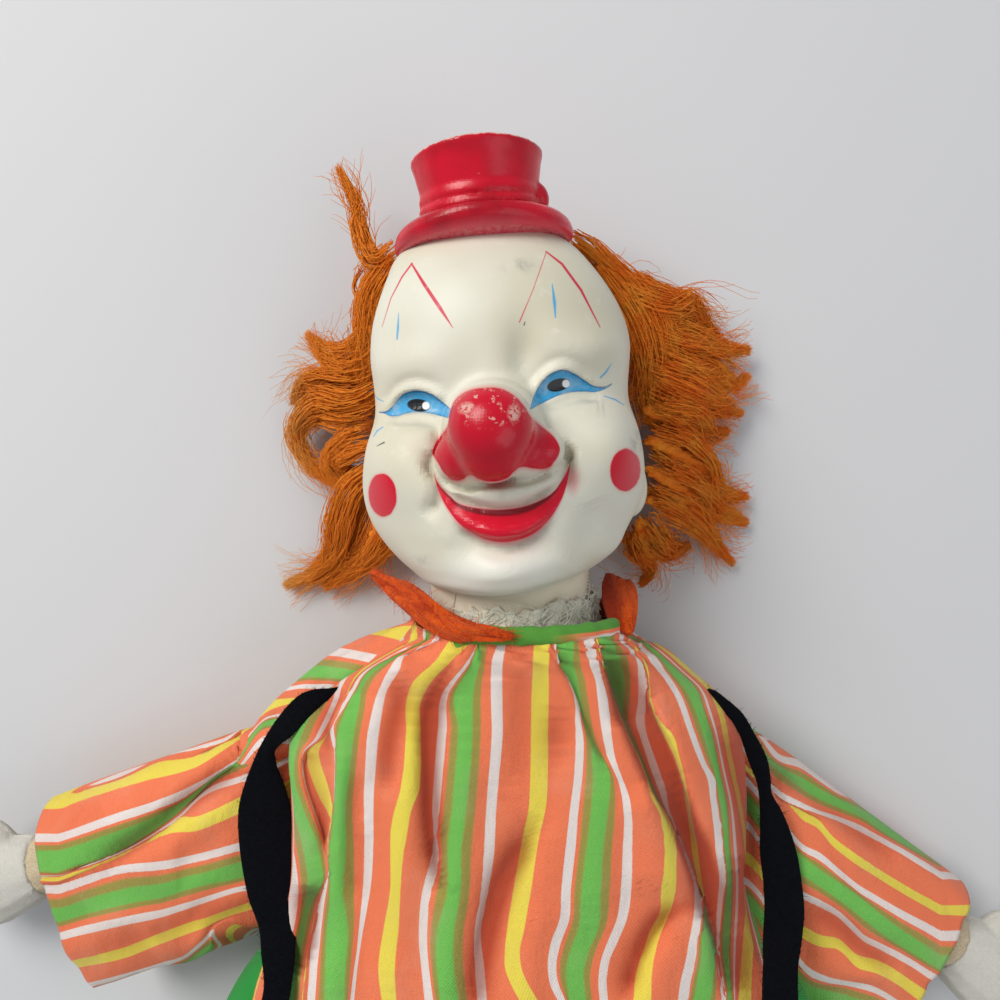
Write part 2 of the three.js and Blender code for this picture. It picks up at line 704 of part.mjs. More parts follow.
const noseLine = up(0.39);
const nose = new THREE.SphereGeometry(1, 14, 8)
  .scale(noseRadius, noseRadius, noseRadius * 1.2)
  .translate(0, noseLine, noseReach - noseRadius * 1.2);
const nostril = (side) => new THREE.SphereGeometry(1, 8, 6)
  .scale(nostrilRadius, nostrilRadius * 0.9, nostrilRadius)
  .translate(side * noseRadius * 0.92, noseLine - noseRadius * 0.3, headForward + headFront);

// The hat is measured from the middle of its brim, and tips forward on the head
const brimLine = crownLine + 0.5;
const onHead = (geometry) => geometry.rotateX(rad(hatTilt)).translate(0, brimLine, hatForward);
const crownTop = brimThickness * 0.5 + crownHeight;
const hatProfile = [
  [0, -brimThickness * 1.5],
  [crownBaseRadius, -brimThickness * 0.9],
  [brimRadius * 0.84, -brimThickness * 0.45],
  [brimRadius * 0.97, -brimThickness * 0.25],
  [brimRadius, 0],
  [brimRadius * 0.96, brimThickness * 0.3],
  [brimRadius * 0.84, brimThickness * 0.45],
  [crownBaseRadius * 1.1, brimThickness * 0.5],
  [crownBaseRadius, brimThickness * 0.75],
  [crownBaseRadius, brimThickness * 0.5 + crownHeight * 0.3],
  [(crownBaseRadius + crownTopRadius) / 2, brimThickness * 0.5 + crownHeight * 0.62],
  [crownTopRadius, crownTop - 1],
  [crownTopRadius - 1.2, crownTop],
  [0, crownTop],
];
const hat = onHead(new THREE.LatheGeometry(hatProfile.map(([r, v]) => new THREE.Vector2(r, v)), 20));
const faceSwell = [
  [noseRadius * 2, -0.06, headHalfWidth * 0.4, headFront * 0.72],
  [-noseRadius * 2, -0.06, headHalfWidth * 0.4, headFront * 0.72],
  [0, -0.13, noseRadius * 1.4, headFront * 0.86],
  [0, -0.27, noseRadius * 1.25, headFront * 0.72],
].map(([side, rise, radius, forward]) => toSolid(
  new THREE.SphereGeometry(1, 12, 8)
    .scale(radius, radius * 0.8, radius * 0.75)
    .translate(side, noseLine + rise * headHeight, headForward + forward),
));
const knobLine = brimThickness * 0.5 + crownHeight * 0.32;
const hatKnob = onHead(new THREE.SphereGeometry(hatKnobRadius, 10, 6)
  .translate(crownBaseRadius + 1.4, knobLine, 0));
const hatHollowDepth = crownTop - headWall + brimThickness * 2;
const hatHollow = onHead(new THREE.CylinderGeometry(
  crownTopRadius - headWall - 1,
  crownBaseRadius - headWall - 1,
  hatHollowDepth,
  12,
).translate(0, crownTop - headWall - hatHollowDepth / 2, 0));
const neckHollow = new THREE.CylinderGeometry(
  neckInside,
  neckInside,
  chinHeight + headHeight * 0.2 - headWall - flangeStart + 1,
  16,
).translate(0, (chinHeight + headHeight * 0.2 - headWall + flangeStart - 1) / 2, 0);
const headShell = cut(
  join(
    solidOf(headForm),
    neckTube,
    ...faceSwell,
    toSolid(nose),
    toSolid(nostril(1)),
    toSolid(nostril(-1)),
    toSolid(hat),
    toSolid(hatKnob),
  ),
  solidOf(halved(headForm), -headWall),
  toSolid(neckHollow),
  toSolid(hatHollow),
);
neck.add(piece('head_shell', headShell, creamVinyl));

// The cloth body's raw edge lies in the groove of the neck, held by a tied cord
const clothInner = grooveRadius + fitGap;
const clothOuter = clothInner + 1;
const fray = turned([
  [clothInner, neckClothTop - 11.4],
  [clothOuter, neckClothTop - 11.4],
  [clothOuter, neckClothTop - 4.3],
  [neckRadius + fitGap + 1, neckClothTop - 0.6],
  [neckRadius + fitGap + 0.9, neckClothTop],
  [neckRadius + fitGap, neckClothTop],
  [neckRadius + fitGap, neckClothTop - 0.5],
  [clothInner, neckClothTop - 4.2],
  [clothInner, neckClothTop - 11.4],
], 24);
neck.add(piece('neck_fray', fray, bodyMuslin));
const tieCord = new THREE.TorusGeometry(clothOuter + fitGap + tieCordRadius, tieCordRadius, 5, 24);
tieCord.rotateX(Math.PI / 2);
tieCord.translate(0, neckClothTop - 7.5, 0);
neck.add(piece('neck_tie_cord', toSolid(tieCord), paleCord));

// Wool hair lies round the back and sides of the head, parted into three masses
const hairFloor = 0.6 - neckAxisHeight;
const hairMiddle = hairFloor + hairHeight / 2;
const hairForm = softForm([
  [up(0.14), hairReach * 0.66, hairHeight * 0.36, hairHeight * 0.4, hairMiddle, 3],
  [up(0.26), hairReach * 0.96, hairHeight * 0.48, hairHeight * 0.5, hairMiddle, 5],
  [up(0.5), hairReach, hairHeight * 0.5, hairHeight * 0.5, hairMiddle, 8],
  [up(0.72), hairReach * 0.97, hairHeight * 0.5, hairHeight * 0.5, hairMiddle, 12],
  [up(0.9), hairReach * 0.76, hairHeight * 0.46, hairHeight * 0.48, hairMiddle, 8],
  [up(1.04), hairReach * 0.5, hairHeight * 0.3, hairHeight * 0.36, hairMiddle],
], { sides: 24, steps: 7, fullness: 2.3 });
const hatRoom = onHead(new THREE.CylinderGeometry(
  brimRadius + fitGap,
  brimRadius + fitGap,
  crownHeight * 2,
  24,
).translate(0, crownHeight - brimThickness * 1.5 - fitGap, 0));
const neckLength = chinHeight + headHeight * 0.2 + 1;
const neckTubeRoom = new THREE.CylinderGeometry(
  neckRadius + 2 * fitGap,
  neckRadius + 2 * fitGap,
  neckLength,
  24,
).translate(0, neckLength / 2, 0);
const hair = cut(solidOf(hairForm), solidOf(headForm, fitGap), toSolid(hatRoom), toSolid(neckTubeRoom));
const far = hairReach * 2;
const beyond = (x0, x1) => block(x0, x1, -far, far * 2, -far, far);
const parting = hairPartingHalfWidth;
neck.add(piece('hair_back', cut(hair, beyond(-far, -parting), beyond(parting, far)), orangeWool));
neck.add(piece('hair_left', cut(hair, beyond(-far, parting + fitGap)), orangeWool));
neck.add(piece('hair_right', cut(hair, beyond(-parting - fitGap, far)), orangeWool));

// Stuffed legs with felt shoes, inside wide trouser legs; a leg runs along -Y from its hip
const legForm = softForm([
  [legRadius, legRadius * 0.22, legRadius * 0.22],
  [legRadius * 0.7, legRadius * 0.72, legRadius * 0.72],
  [0, legRadius, legRadius],
  [-legLength * 0.25, legRadius + 0.5, legRadius + 0.5],
  [-legLength * 0.6, legRadius - 2, legRadius - 2],
  [-legLength, legRadius - 4.5, legRadius - 4.5],
], { sides: 12, steps: 6 });
const trouserLegForm = softForm([
  [trouserLegHalfDepth * 0.97, trouserLegHalfWidth * 0.86, trouserLegHalfDepth * 0.24],
  [trouserLegHalfDepth * 0.7, trouserLegHalfWidth * 0.94, trouserLegHalfDepth * 0.71],
  [0, trouserLegHalfWidth, trouserLegHalfDepth],
  [-trouserLegLength * 0.3, trouserLegHalfWidth, trouserLegHalfDepth],
  [-trouserLegLength * 0.65, trouserLegHalfWidth - 4, trouserLegHalfDepth - 0.8],
  [-trouserLegLength, trouserLegHalfWidth - 7, trouserLegHalfDepth - 1.6],
], {
  sides: 20,
  steps: 7,
  fullness: 2.6,
  ripple: (angle, t) => (t > 0.2 ? 0.8 : 0) * (Math.cos(5 * angle) - 1),
});
const ankleRoom = softForm([
  [-trouserLegLength + cuffDepth, trouserLegHalfWidth - 14, trouserLegHalfDepth - 6],
  [-trouserLegLength - 2, trouserLegHalfWidth - 10.5, trouserLegHalfDepth - 4.8],
], { sides: 16, steps: 1, fullness: 2.4 });
const legEnd = block(-40, 40, -legLength - 5, -legLength + bodyCloth * 2, -40, 40);
const legCover = cut(solidOf(legForm), solidOf(legForm, -bodyCloth), block(
  -legRadius * 0.5,
  legRadius * 0.5,
  -legLength - 5,
  -legLength + bodyCloth * 2,
  -legRadius * 0.5,
  legRadius * 0.5,
));
const legStuffing = cut(solidOf(halved(legForm), -bodyCloth - fitGap), legEnd);
const trouserLeg = cut(solidOf(trouserLegForm), solidOf(legForm, fitGap), solidOf(ankleRoom));

// A shoe points out of the floor, heel down, with its sole square to the leg
const ankleRadius = legRadius - 4.5;
const shoeTop = -legLength - fitGap;
const soleFace = shoeTop - shoeHeight;
const heel = -ankleRadius - 3.5;
const toe = heel + shoeLength;
const shoeForm = softForm([
  [0, 0.5, 0.3, 0.4, 0.35],
  [0.08, 0.82, 0.5, 0.6, 0.4],
  [0.3, 0.9, 0.5, 0.6, 0.4],
  [0.6, 1, 0.36, 0.5, 0.3],
  [0.85, 0.94, 0.34, 0.4, 0.28],
  [1, 0.45, 0.16, 0.3, 0.22],
].map(([along, side, above, below, rise]) => [
  heel + shoeLength * along,
  shoeHalfWidth * side,
  shoeHeight * above,
  shoeHeight * below,
  soleFace + shoeHeight * rise,
]), { sides: 14, steps: 6, fullness: 2.2 });

// The shoe's form runs heel to toe along Y, then Y turns up to Z and Z to Y
function standing(form, grow = 0) {
  const geometry = shapeOf(form, grow);
  const turn = new THREE.Matrix4().set(
    -1, 0, 0, 0,
    0, 0, 1, 0,
    0, 1, 0, 0,
    0, 0, 0, 1,
  );
  geometry.applyMatrix4(turn);
  return toSolid(geometry);
}

const ankle = new THREE.CylinderGeometry(ankleRadius, ankleRadius + 1.5, shoeHeight * 0.6, 14)
  .translate(0, shoeTop - shoeHeight * 0.3, 0);
const shoeUpper = cut(
  join(standing(shoeForm), toSolid(ankle)),
  block(-60, 60, soleFace - 60, soleFace, -60, 120),
);
const soleHalf = shoeHalfWidth + soleLip;
const waist = heel + shoeLength * 0.4;
const tread = heel + shoeLength * 0.65;
const soleOutline = new THREE.Shape();
soleOutline.moveTo(0, heel - soleLip);
soleOutline.bezierCurveTo(soleHalf, heel - soleLip, soleHalf * 0.9, waist, soleHalf, tread);
soleOutline.bezierCurveTo(soleHalf, toe, soleHalf * 0.6, toe + soleLip, 0, toe + soleLip);
soleOutline.bezierCurveTo(-soleHalf * 0.6, toe + soleLip, -soleHalf, toe, -soleHalf, tread);
soleOutline.bezierCurveTo(-soleHalf * 0.9, waist, -soleHalf, heel - soleLip, 0, heel - soleLip);
const soleGeometry = new THREE.ExtrudeGeometry(soleOutline, {
  depth: soleThickness,
  bevelEnabled: false,
  curveSegments: 6,
});
soleGeometry.rotateX(Math.PI / 2);
soleGeometry.translate(0, soleFace - fitGap, 0);
const shoeSole = toSolid(soleGeometry);

[['left', 1], ['right', -1]].forEach(([name, side]) => {
  const leg = new THREE.Group();
  leg.position.set(side * hipSpacing, hipY, hipZ);
  leg.add(piece(`leg_cover_${name}`, legCover, bodyMuslin, side));
  leg.add(piece(`leg_stuffing_${name}`, legStuffing, fillingWhite, side));
  leg.add(piece(`trouser_leg_${name}`, trouserLeg, greenTwill, side));
  leg.add(piece(`shoe_upper_${name}`, shoeUpper, blackFelt, side));
  leg.add(piece(`shoe_sole_${name}`, shoeSole, soleFelt, side));
  doll.add(leg);
});

export default doll;
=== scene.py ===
import math
import random

import bmesh
import bpy
import numpy as np
from mathutils import Matrix, Vector


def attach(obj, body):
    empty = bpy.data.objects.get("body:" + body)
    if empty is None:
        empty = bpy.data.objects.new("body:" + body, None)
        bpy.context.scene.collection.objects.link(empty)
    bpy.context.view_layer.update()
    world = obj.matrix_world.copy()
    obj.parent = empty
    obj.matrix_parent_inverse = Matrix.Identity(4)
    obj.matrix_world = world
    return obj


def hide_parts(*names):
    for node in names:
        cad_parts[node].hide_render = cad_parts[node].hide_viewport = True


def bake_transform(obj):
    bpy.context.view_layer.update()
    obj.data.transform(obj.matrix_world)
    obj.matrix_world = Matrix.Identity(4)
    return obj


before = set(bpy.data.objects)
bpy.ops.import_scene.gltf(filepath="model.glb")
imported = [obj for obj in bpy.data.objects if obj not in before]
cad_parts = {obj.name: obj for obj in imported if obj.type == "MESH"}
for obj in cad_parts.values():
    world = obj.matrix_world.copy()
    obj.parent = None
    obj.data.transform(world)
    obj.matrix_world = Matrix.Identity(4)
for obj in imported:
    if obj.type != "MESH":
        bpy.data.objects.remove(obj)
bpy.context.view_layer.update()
print("frame loaded")

mm = 0.001
scene = bpy.context.scene
scene.view_settings.view_transform = "Standard"

# The camera looks straight down on the face. Paint and face lines are laid out in the pixels of that view.
view = {"x": -5, "y": 100, "height": 255, "lens": 26, "sensor": 36, "frame": 1000}
view["focal"] = view["frame"] * view["lens"] / view["sensor"]
view["centre"] = view["frame"] / 2

camera = bpy.data.objects.new("camera", bpy.data.cameras.new("camera"))
camera.data.lens = view["lens"]
camera.data.sensor_width = view["sensor"]
camera.data.clip_start = 0.01
camera.location = (view["x"] * mm, view["y"] * mm, view["height"] * mm)
scene.collection.objects.link(camera)
scene.camera = camera


def scaleAt(z):  # pixels per millimetre at height z
    return view["focal"] / (view["height"] - z)


def placeOf(px, py, z):  # the place in millimetres that a pixel shows at height z
    scale = scaleAt(z)
    return Vector((
        (px - view["centre"]) / scale + view["x"],
        view["y"] - (py - view["centre"]) / scale,
        z,
    ))


def pixelsOf(places):  # pixels of many places in metres
    reach = scaleAt(places[:, 2] / mm)
    px = view["centre"] + (places[:, 0] / mm - view["x"]) * reach
    py = view["centre"] - (places[:, 1] / mm - view["y"]) * reach
    return np.stack([px, py], axis=1)


# Light: a broad window at the upper left, a weak one opposite, and a pale room
lights = {
    "world": (0.93, 0.96, 1.0),
    "worldStrength": 0.4,
    "key": {
        "place": (-0.75, 0.75, 0.95), "aim": (0, 0.05, 0.03), "size": 0.7, "power": 15.5,
        "color": (1, 0.98, 0.95),
    },
    "fill": {
        "place": (0.9, -0.5, 0.9), "aim": (0, 0.0, 0.03), "size": 1.1, "power": 4, "color": (0.93, 0.96, 1),
    },
}
world = bpy.data.worlds.new("room")
world.use_nodes = True
scene.world = world
room = world.node_tree
room.nodes["Background"].inputs["Color"].default_value = (*lights["world"], 1)
room.nodes["Background"].inputs["Strength"].default_value = lights["worldStrength"]

for lampName in ("key", "fill"):
    lamp = lights[lampName]
    data = bpy.data.lights.new(lampName, "AREA")
    data.shape = "SQUARE"
    data.size = lamp["size"]
    data.energy = lamp["power"]
    data.color = lamp["color"]
    body = bpy.data.objects.new(lampName, data)
    body.location = lamp["place"]
    body.rotation_euler = (Vector(lamp["aim"]) - Vector(lamp["place"])).to_track_quat("-Z", "Y").to_euler()
    scene.collection.objects.link(body)


# Small tools for materials: a Wire is one number or colour that runs through a node tree
class Wire:
    def __init__(self, finish, socket):
        self.finish = finish
        self.socket = socket

    def combine(self, operation, *others):
        return self.finish.node("ShaderNodeMath", {"operation": operation}, dict(enumerate((self, *others))))[0]

    def __add__(self, other):
        return self.combine("ADD", other)

    def __radd__(self, other):
        return self.combine("ADD", other)

    def __mul__(self, other):
        return self.combine("MULTIPLY", other)

    def __rmul__(self, other):
        return self.combine("MULTIPLY", other)

    def __sub__(self, other):
        return self.combine("SUBTRACT", other)

    def __rsub__(self, other):
        return self.finish.node("ShaderNodeMath", {"operation": "SUBTRACT"}, {0: other, 1: self})[0]

    def __truediv__(self, other):
        return self.combine("DIVIDE", other)

    def __rtruediv__(self, other):
        return self.finish.node("ShaderNodeMath", {"operation": "DIVIDE"}, {0: other, 1: self})[0]

    def __pow__(self, other):
        return self.combine("POWER", other)

    def least(self, other):
        return self.combine("MINIMUM", other)

    def most(self, other):
        return self.combine("MAXIMUM", other)

    def sine(self):
        return self.combine("SINE")

    def repeat(self, length):
        return self.combine("FLOORED_MODULO", length)

    def ramp(self, low, high, first=0, last=1):  # smooth step from low to high
        settings = {"interpolation_type": "SMOOTHSTEP", "clamp": True}
        values = {0: self, 1: low, 2: high, 3: first, 4: last}
        return self.finish.node("ShaderNodeMapRange", settings, values)[0]

    def below(self, edge, soft):  # 1 where the value is under the edge
        return self.ramp(edge - soft, edge + soft, 1, 0)

    def above(self, edge, soft):
        return self.ramp(edge - soft, edge + soft, 0, 1)

    def curve(self, points):  # a smooth line through points; flat past its ends
        xs = [x for x, y in points]
        ys = [y for x, y in points]
        low, high = min(ys) - 1, max(ys) + 1
        node = self.finish.node("ShaderNodeFloatCurve", {}, {1: (self - xs[0]) / (xs[-1] - xs[0])}, whole=True)
        line = node.mapping.curves[0]
        scaled = [((x - xs[0]) / (xs[-1] - xs[0]), (y - low) / (high - low)) for x, y in points]
        line.points[0].location = scaled[0]
        line.points[-1].location = scaled[-1]
        for place in scaled[1:-1]:
            line.points.new(*place)
        node.mapping.use_clip = False
        node.mapping.update()
        return Wire(self.finish, node.outputs[0]) * (high - low) + low


class Finish:  # one material
    def __init__(self, name):
        self.material = bpy.data.materials.new(name)
        self.material.use_nodes = True
        self.tree = self.material.node_tree
        self.tree.nodes.clear()
        self.output = self.tree.nodes.new("ShaderNodeOutputMaterial")
        self.shader = self.tree.nodes.new("ShaderNodeBsdfPrincipled")
        self.tree.links.new(self.shader.outputs[0], self.output.inputs["Surface"])

    def node(self, kind, settings=None, values=None, whole=False):
        made = self.tree.nodes.new(kind)
        for key, value in (settings or {}).items():
            setattr(made, key, value)
        for key, value in (values or {}).items():
            self.put(made.inputs[key], value)
        return made if whole else [Wire(self, socket) for socket in made.outputs]

    def put(self, socket, value):
        if isinstance(value, Wire):
            self.tree.links.new(value.socket, socket)
        elif isinstance(value, (tuple, list)) and len(value) == 3 and socket.type == "RGBA":
            socket.default_value = (*value, 1)
        else:
            socket.default_value = value

    def set(self, **values):  # sockets of the shader, by name with _ for a space
        for key, value in values.items():
            self.put(self.shader.inputs[key.replace("_", " ")], value)
        return self

    def place(self):  # Object coordinates in millimetres
        coordinates = self.node("ShaderNodeTexCoord", whole=True)
        return self.scaled(Wire(self, coordinates.outputs["Object"]), 1 / mm)

    def uv(self, name):
        return self.node("ShaderNodeUVMap", {"uv_map": name})[0]

    def attribute(self, name):
        return Wire(self, self.node("ShaderNodeAttribute", {"attribute_name": name}, whole=True).outputs["Fac"])

    def scaled(self, vector, factor):
        factor = factor if isinstance(factor, (tuple, list)) else (factor,) * 3
        return self.node("ShaderNodeVectorMath", {"operation": "MULTIPLY"}, {0: vector, 1: factor})[0]

    def shifted(self, vector, offset):
        return self.node("ShaderNodeVectorMath", {"operation": "ADD"}, {0: vector, 1: offset})[0]

    def split(self, vector):
        return self.node("ShaderNodeSeparateXYZ", {}, {0: vector})

    def vector(self, x, y, z=0):
        return self.node("ShaderNodeCombineXYZ", {}, {0: x, 1: y, 2: z})[0]

    def noise(self, vector, size, detail=3, roughness=0.5,
              distortion=0):  # size of a lump in the vector's units
        values = {
            "Vector": vector, "Scale": 1 / size, "Detail": detail, "Roughness": roughness,
            "Distortion": distortion,
        }
        return self.node("ShaderNodeTexNoise", {}, values)[0]

    def mix(self, share, first, second, mode="MIX"):  # colours
        settings = {"data_type": "RGBA", "blend_type": mode, "clamp_factor": True}
        return self.node("ShaderNodeMix", settings, {0: share, 6: first, 7: second})[2]

    def bump(self, height, depth, normal=None):  # height from 0 to 1 stands for depth in millimetres
        values = {"Height": height, "Strength": 1, "Distance": depth * mm}
        if normal is not None:
            values["Normal"] = normal
        return self.node("ShaderNodeBump", {}, values)[0]


def srgb(red, green, blue):  # colour as seen on screen, 0 to 255
    def linear(value):
        value /= 255
        return value / 12.92 if value <= 0.04045 else ((value + 0.055) / 1.055) ** 2.4
    return (linear(red), linear(green), linear(blue))


# Small tools for meshes
def smoothLine(xs, ys, at):  # a smooth line through points, read at many places
    xs, ys, at = (np.asarray(v, float) for v in (xs, ys, at))
    slope = np.gradient(ys, xs)
    k = np.clip(np.searchsorted(xs, at) - 1, 0, len(xs) - 2)
    width = xs[k + 1] - xs[k]
    t = np.clip((at - xs[k]) / width, 0, 1)
    return ((2 * t ** 3 - 3 * t ** 2 + 1) * ys[k] + (t ** 3 - 2 * t ** 2 + t) * width * slope[k]
            + (3 * t ** 2 - 2 * t ** 3) * ys[k + 1] + (t ** 3 - t ** 2) * width * slope[k + 1])


def lengthAlong(points):  # the length from a line's first point to each of its points
    return np.concatenate([[0], np.cumsum(np.linalg.norm(np.diff(points, axis=0), axis=1))])


def turnBy(degrees, axis="Z"):
    return Matrix.Rotation(math.radians(degrees), 4, axis)


def readAt(spots, at, rows):  # rows of three numbers, known at the lengths at, read at the spots
    return np.stack([np.interp(spots, at, rows[:, k]) for k in range(3)], axis=1)


def spreadOut(values, count):  # a few values read evenly into many
    return np.interp(np.linspace(0, 1, count), np.linspace(0, 1, len(values)), values)


def sidesOf(path):  # the directions across and above a path
    run = np.gradient(path, axis=0)
    run /= np.maximum(np.linalg.norm(run, axis=1, keepdims=True), 1e-6)
    over = np.cross(run, [0, 0, 1.0])
    over /= np.maximum(np.linalg.norm(over, axis=1, keepdims=True), 1e-6)
    return over, np.cross(over, run)


def placesOf(mesh, what="co"):
    found = np.empty(len(mesh.vertices) * 3, np.float32)
    mesh.vertices.foreach_get(what, found)
    return found.reshape(-1, 3).astype(float)


def normalsOf(mesh):
    return placesOf(mesh, "normal")


def movePoints(mesh, places):
    mesh.vertices.foreach_set("co", places.astype(np.float32).ravel())
    mesh.update()


def gridNormals(places, upAt=None):  # normals of a grid of points; at the point upAt they face up
    along = np.gradient(places, axis=0)
    around = np.gradient(places, axis=1)
    normal = np.cross(around, along)
    normal /= np.maximum(np.linalg.norm(normal, axis=2, keepdims=True), 1e-9)
    return -normal if upAt and normal[upAt][2] < 0 else normal


def repeatDown(row, rows):  # a row of numbers, the same in every row of a grid
    return np.repeat(np.reshape(row, (1, -1)), rows, axis=0)


def repeatAcross(column, columns):  # a column of numbers, the same in every column of a grid
    return np.repeat(np.reshape(column, (-1, 1)), columns, axis=1)


# A sheet through a grid of points in millimetres, with its flat lay as UV map
def clothFrom(name, places, lay, thickness, closed=True, values=None):
    rows, columns = places.shape[:2]
    bm = bmesh.new()
    bmesh.ops.create_grid(bm, x_segments=columns - 1, y_segments=rows - 1, size=0.5)
    layer = bm.loops.layers.uv.new("cloth")
    # values: painted shade of the fold valleys, kept on each point
    valley = bm.verts.layers.float.new("valley") if values is not None else None
    spots = {v: (round((v.co.y + 0.5) * (rows - 1)), round((v.co.x + 0.5) * (columns - 1))) for v in bm.verts}
    for face in bm.faces:
        for loop in face.loops:
            loop[layer].uv = lay[spots[loop.vert]]
    if valley is not None:
        for vert, spot in spots.items():
            vert[valley] = values[spot]
    for vert, spot in spots.items():
        vert.co = places[spot] * mm
    if closed:
        bmesh.ops.remove_doubles(bm, verts=bm.verts, dist=0.02 * mm)
    bmesh.ops.recalc_face_normals(bm, faces=bm.faces)
    made = objectFrom(name, bm)
    if thickness:
        body = made.modifiers.new("body", "SOLIDIFY")
        body.thickness = thickness * mm
        body.offset = 0
        applyModifiers(made)
    return made


def keepValue(mesh, name, values):
    attribute = mesh.attributes.new(name, "FLOAT", "POINT")
    attribute.data.foreach_set("value", values.astype(np.float32))


def objectFrom(name, bm, smooth=True):
    mesh = bpy.data.meshes.new(name)
    bm.to_mesh(mesh)
    bm.free()
    made = bpy.data.objects.new(name, mesh)
    scene.collection.objects.link(made)
    if smooth:
        mesh.shade_smooth()
    return made


def softened(made, rounds, group=""):  # smoothed, inside a vertex group where one is given
    soften = made.modifiers.new("soften", "SMOOTH")
    soften.factor = 0.5
    soften.iterations = rounds
    soften.vertex_group = group
    return applyModifiers(made)


def melted(made, voxel, rounds):  # its shapes run into one skin of small squares
    melt = made.modifiers.new("melt", "REMESH")
    melt.mode = "VOXEL"
    melt.voxel_size = voxel * mm
    return softened(made, rounds)


def applyModifiers(made):  # the mesh becomes what its modifiers show
    graph = bpy.context.evaluated_depsgraph_get()
    mesh = bpy.data.meshes.new_from_object(made.evaluated_get(graph))
    made.modifiers.clear()
    old = made.data
    made.data = mesh
    bpy.data.meshes.remove(old)
    mesh.name = made.name
    return made


def dress(piece, body, slot, finish, *nodes):  # rides, slot (not used), material and the CAD nodes that it stands for
    if body:
        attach(piece, body)
    piece.data.materials.clear()
    piece.data.materials.append(finish.material)
    if nodes:
        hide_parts(*nodes)
    return piece


# Lines that press into or stand out of a surface, in the pixels of the view
def strokeReach(pixels, points):  # distance in pixels to a line of points, and the side of it
    best = np.full(len(pixels), 1e9)
    side = np.zeros(len(pixels))
    for (ax, ay), (bx, by) in zip(points[:-1], points[1:]):
        run = np.array([bx - ax, by - ay], float)
        off = pixels - (ax, ay)
        share = np.clip(off @ run / (run @ run), 0, 1)
        gap = off - share[:, None] * run
        length = np.hypot(gap[:, 0], gap[:, 1])
        nearer = length < best
        best = np.where(nearer, length, best)
        side = np.where(nearer, np.sign(run[0] * off[:, 1] - run[1] * off[:, 0]), side)
    return best, side


def smoothPoints(points, steps=6):  # a rounder line through the points
    points = np.array(points, float)
    reach = lengthAlong(points)
    at = np.linspace(0, reach[-1], (len(points) - 1) * steps + 1)
    return np.stack([smoothLine(reach, points[:, k], at) for k in range(points.shape[1])], axis=1)


def fadeEnds(pixels, points, share=0.2):  # 1 along a line, 0 at its ends
    points = np.array(points, float)
    reach = lengthAlong(points)
    gaps = np.linalg.norm(pixels[:, None, :] - points[None, :, :], axis=2)
    at = reach[np.argmin(gaps, axis=1)] / reach[-1]
    return np.clip(at / share, 0, 1) * np.clip((1 - at) / share, 0, 1)


grimeFrom = -1.25  # lines pressed deeper than this hold grime


def pushes(places, lumps, strokes, steps=()):  # how far each place moves out, in millimetres, and its grime
    pixels, scale = pixelsOf(places), scaleAt(places[:, 2] / mm)
    move = np.zeros(len(pixels))
    dirtAndShade = np.zeros(len(pixels))
    for (px, py), (wide, tall), turn, height in lumps:
        c, s = math.cos(math.radians(turn)), math.sin(math.radians(turn))
        off = pixels - (px, py)
        across = (off[:, 0] * c - off[:, 1] * s) / wide
        up = (off[:, 0] * s + off[:, 1] * c) / tall
        move += height * np.exp(-(across ** 2 + up ** 2) / 2)
    for points, width, height in strokes:
        line = smoothPoints(points)
        near, side = strokeReach(pixels, line)
        near = near / scale
        bell = np.exp(-(near / width) ** 2 / 2) * fadeEnds(pixels, line)
        move += height * bell
        dirtAndShade += bell * (height < grimeFrom)
    for points, edge, reach, height in steps:
        line = smoothPoints(points)
        near, side = strokeReach(pixels, line)
        near = near / scale * side
        move += height * np.tanh(near / edge) * np.exp(-(near / reach) ** 2) * fadeEnds(pixels, line, 0.12)
    return move, dirtAndShade


# Head: blocks melted together, then the face's lines pressed in. Its frame: u to its left, v up, w forward.
head = {
    "pivot": (0, 52, 34), "roll": 4.5, "middle": 8, "voxel": 0.75,
    "neckRadius": 24.2, "neckLength": 50, "neckMiddle": 15,
    "bareRadius": 26.6, "bareEdge": 1.2, "bareTop": 34,  # the unpainted neck
    "meltRounds": 10, "sculptRounds": 6, "lastRounds": 3,
    # the corners of the lips end smoothly
    "calmSpots": [((452, 508), 20), ((470, 528), 16), ((560, 488), 15)], "calmFrom": 0.1, "calmRounds": 16,
    "frontFrom": 30,
    "lensSink": 1.0, "lensSoft": 3.5, "lensGrime": 2.8,
    # v, u, half width, front, back
    "stations": [
        (21.5, -4, 0.1, 0.1, 0.1), (22.4, -3.6, 9, 14.4, 6), (25, -1.8, 20, 25, 13),
        (29.8, 0.4, 28.5, 29.4, 20), (38.5, 0, 35.7, 31, 26), (46.9, 0.4, 40.2, 32.5, 30),
        (54.1, 0.3, 41, 32.5, 32), (64, 0.6, 39.6, 31.5, 33.5), (74.3, 1.3, 37.0, 30, 34),
        (83, 1.9, 37.2, 31, 34), (92.1, 2.2, 37.8, 31.8, 34), (100, 1.8, 36.4, 31, 33.5),
        (107.7, 1.2, 33.2, 28.8, 32), (114, 0.5, 29.8, 25.4, 29), (119.8, -0.3, 25.9, 21, 25),
        (124.5, -0.5, 19, 15, 18), (127.6, -0.5, 10, 8, 9), (128.5, -0.5, 0.1, 0.1, 0.1),
    ],
}
headMatrix = Matrix.Translation(head["pivot"]) @ turnBy(head["roll"])

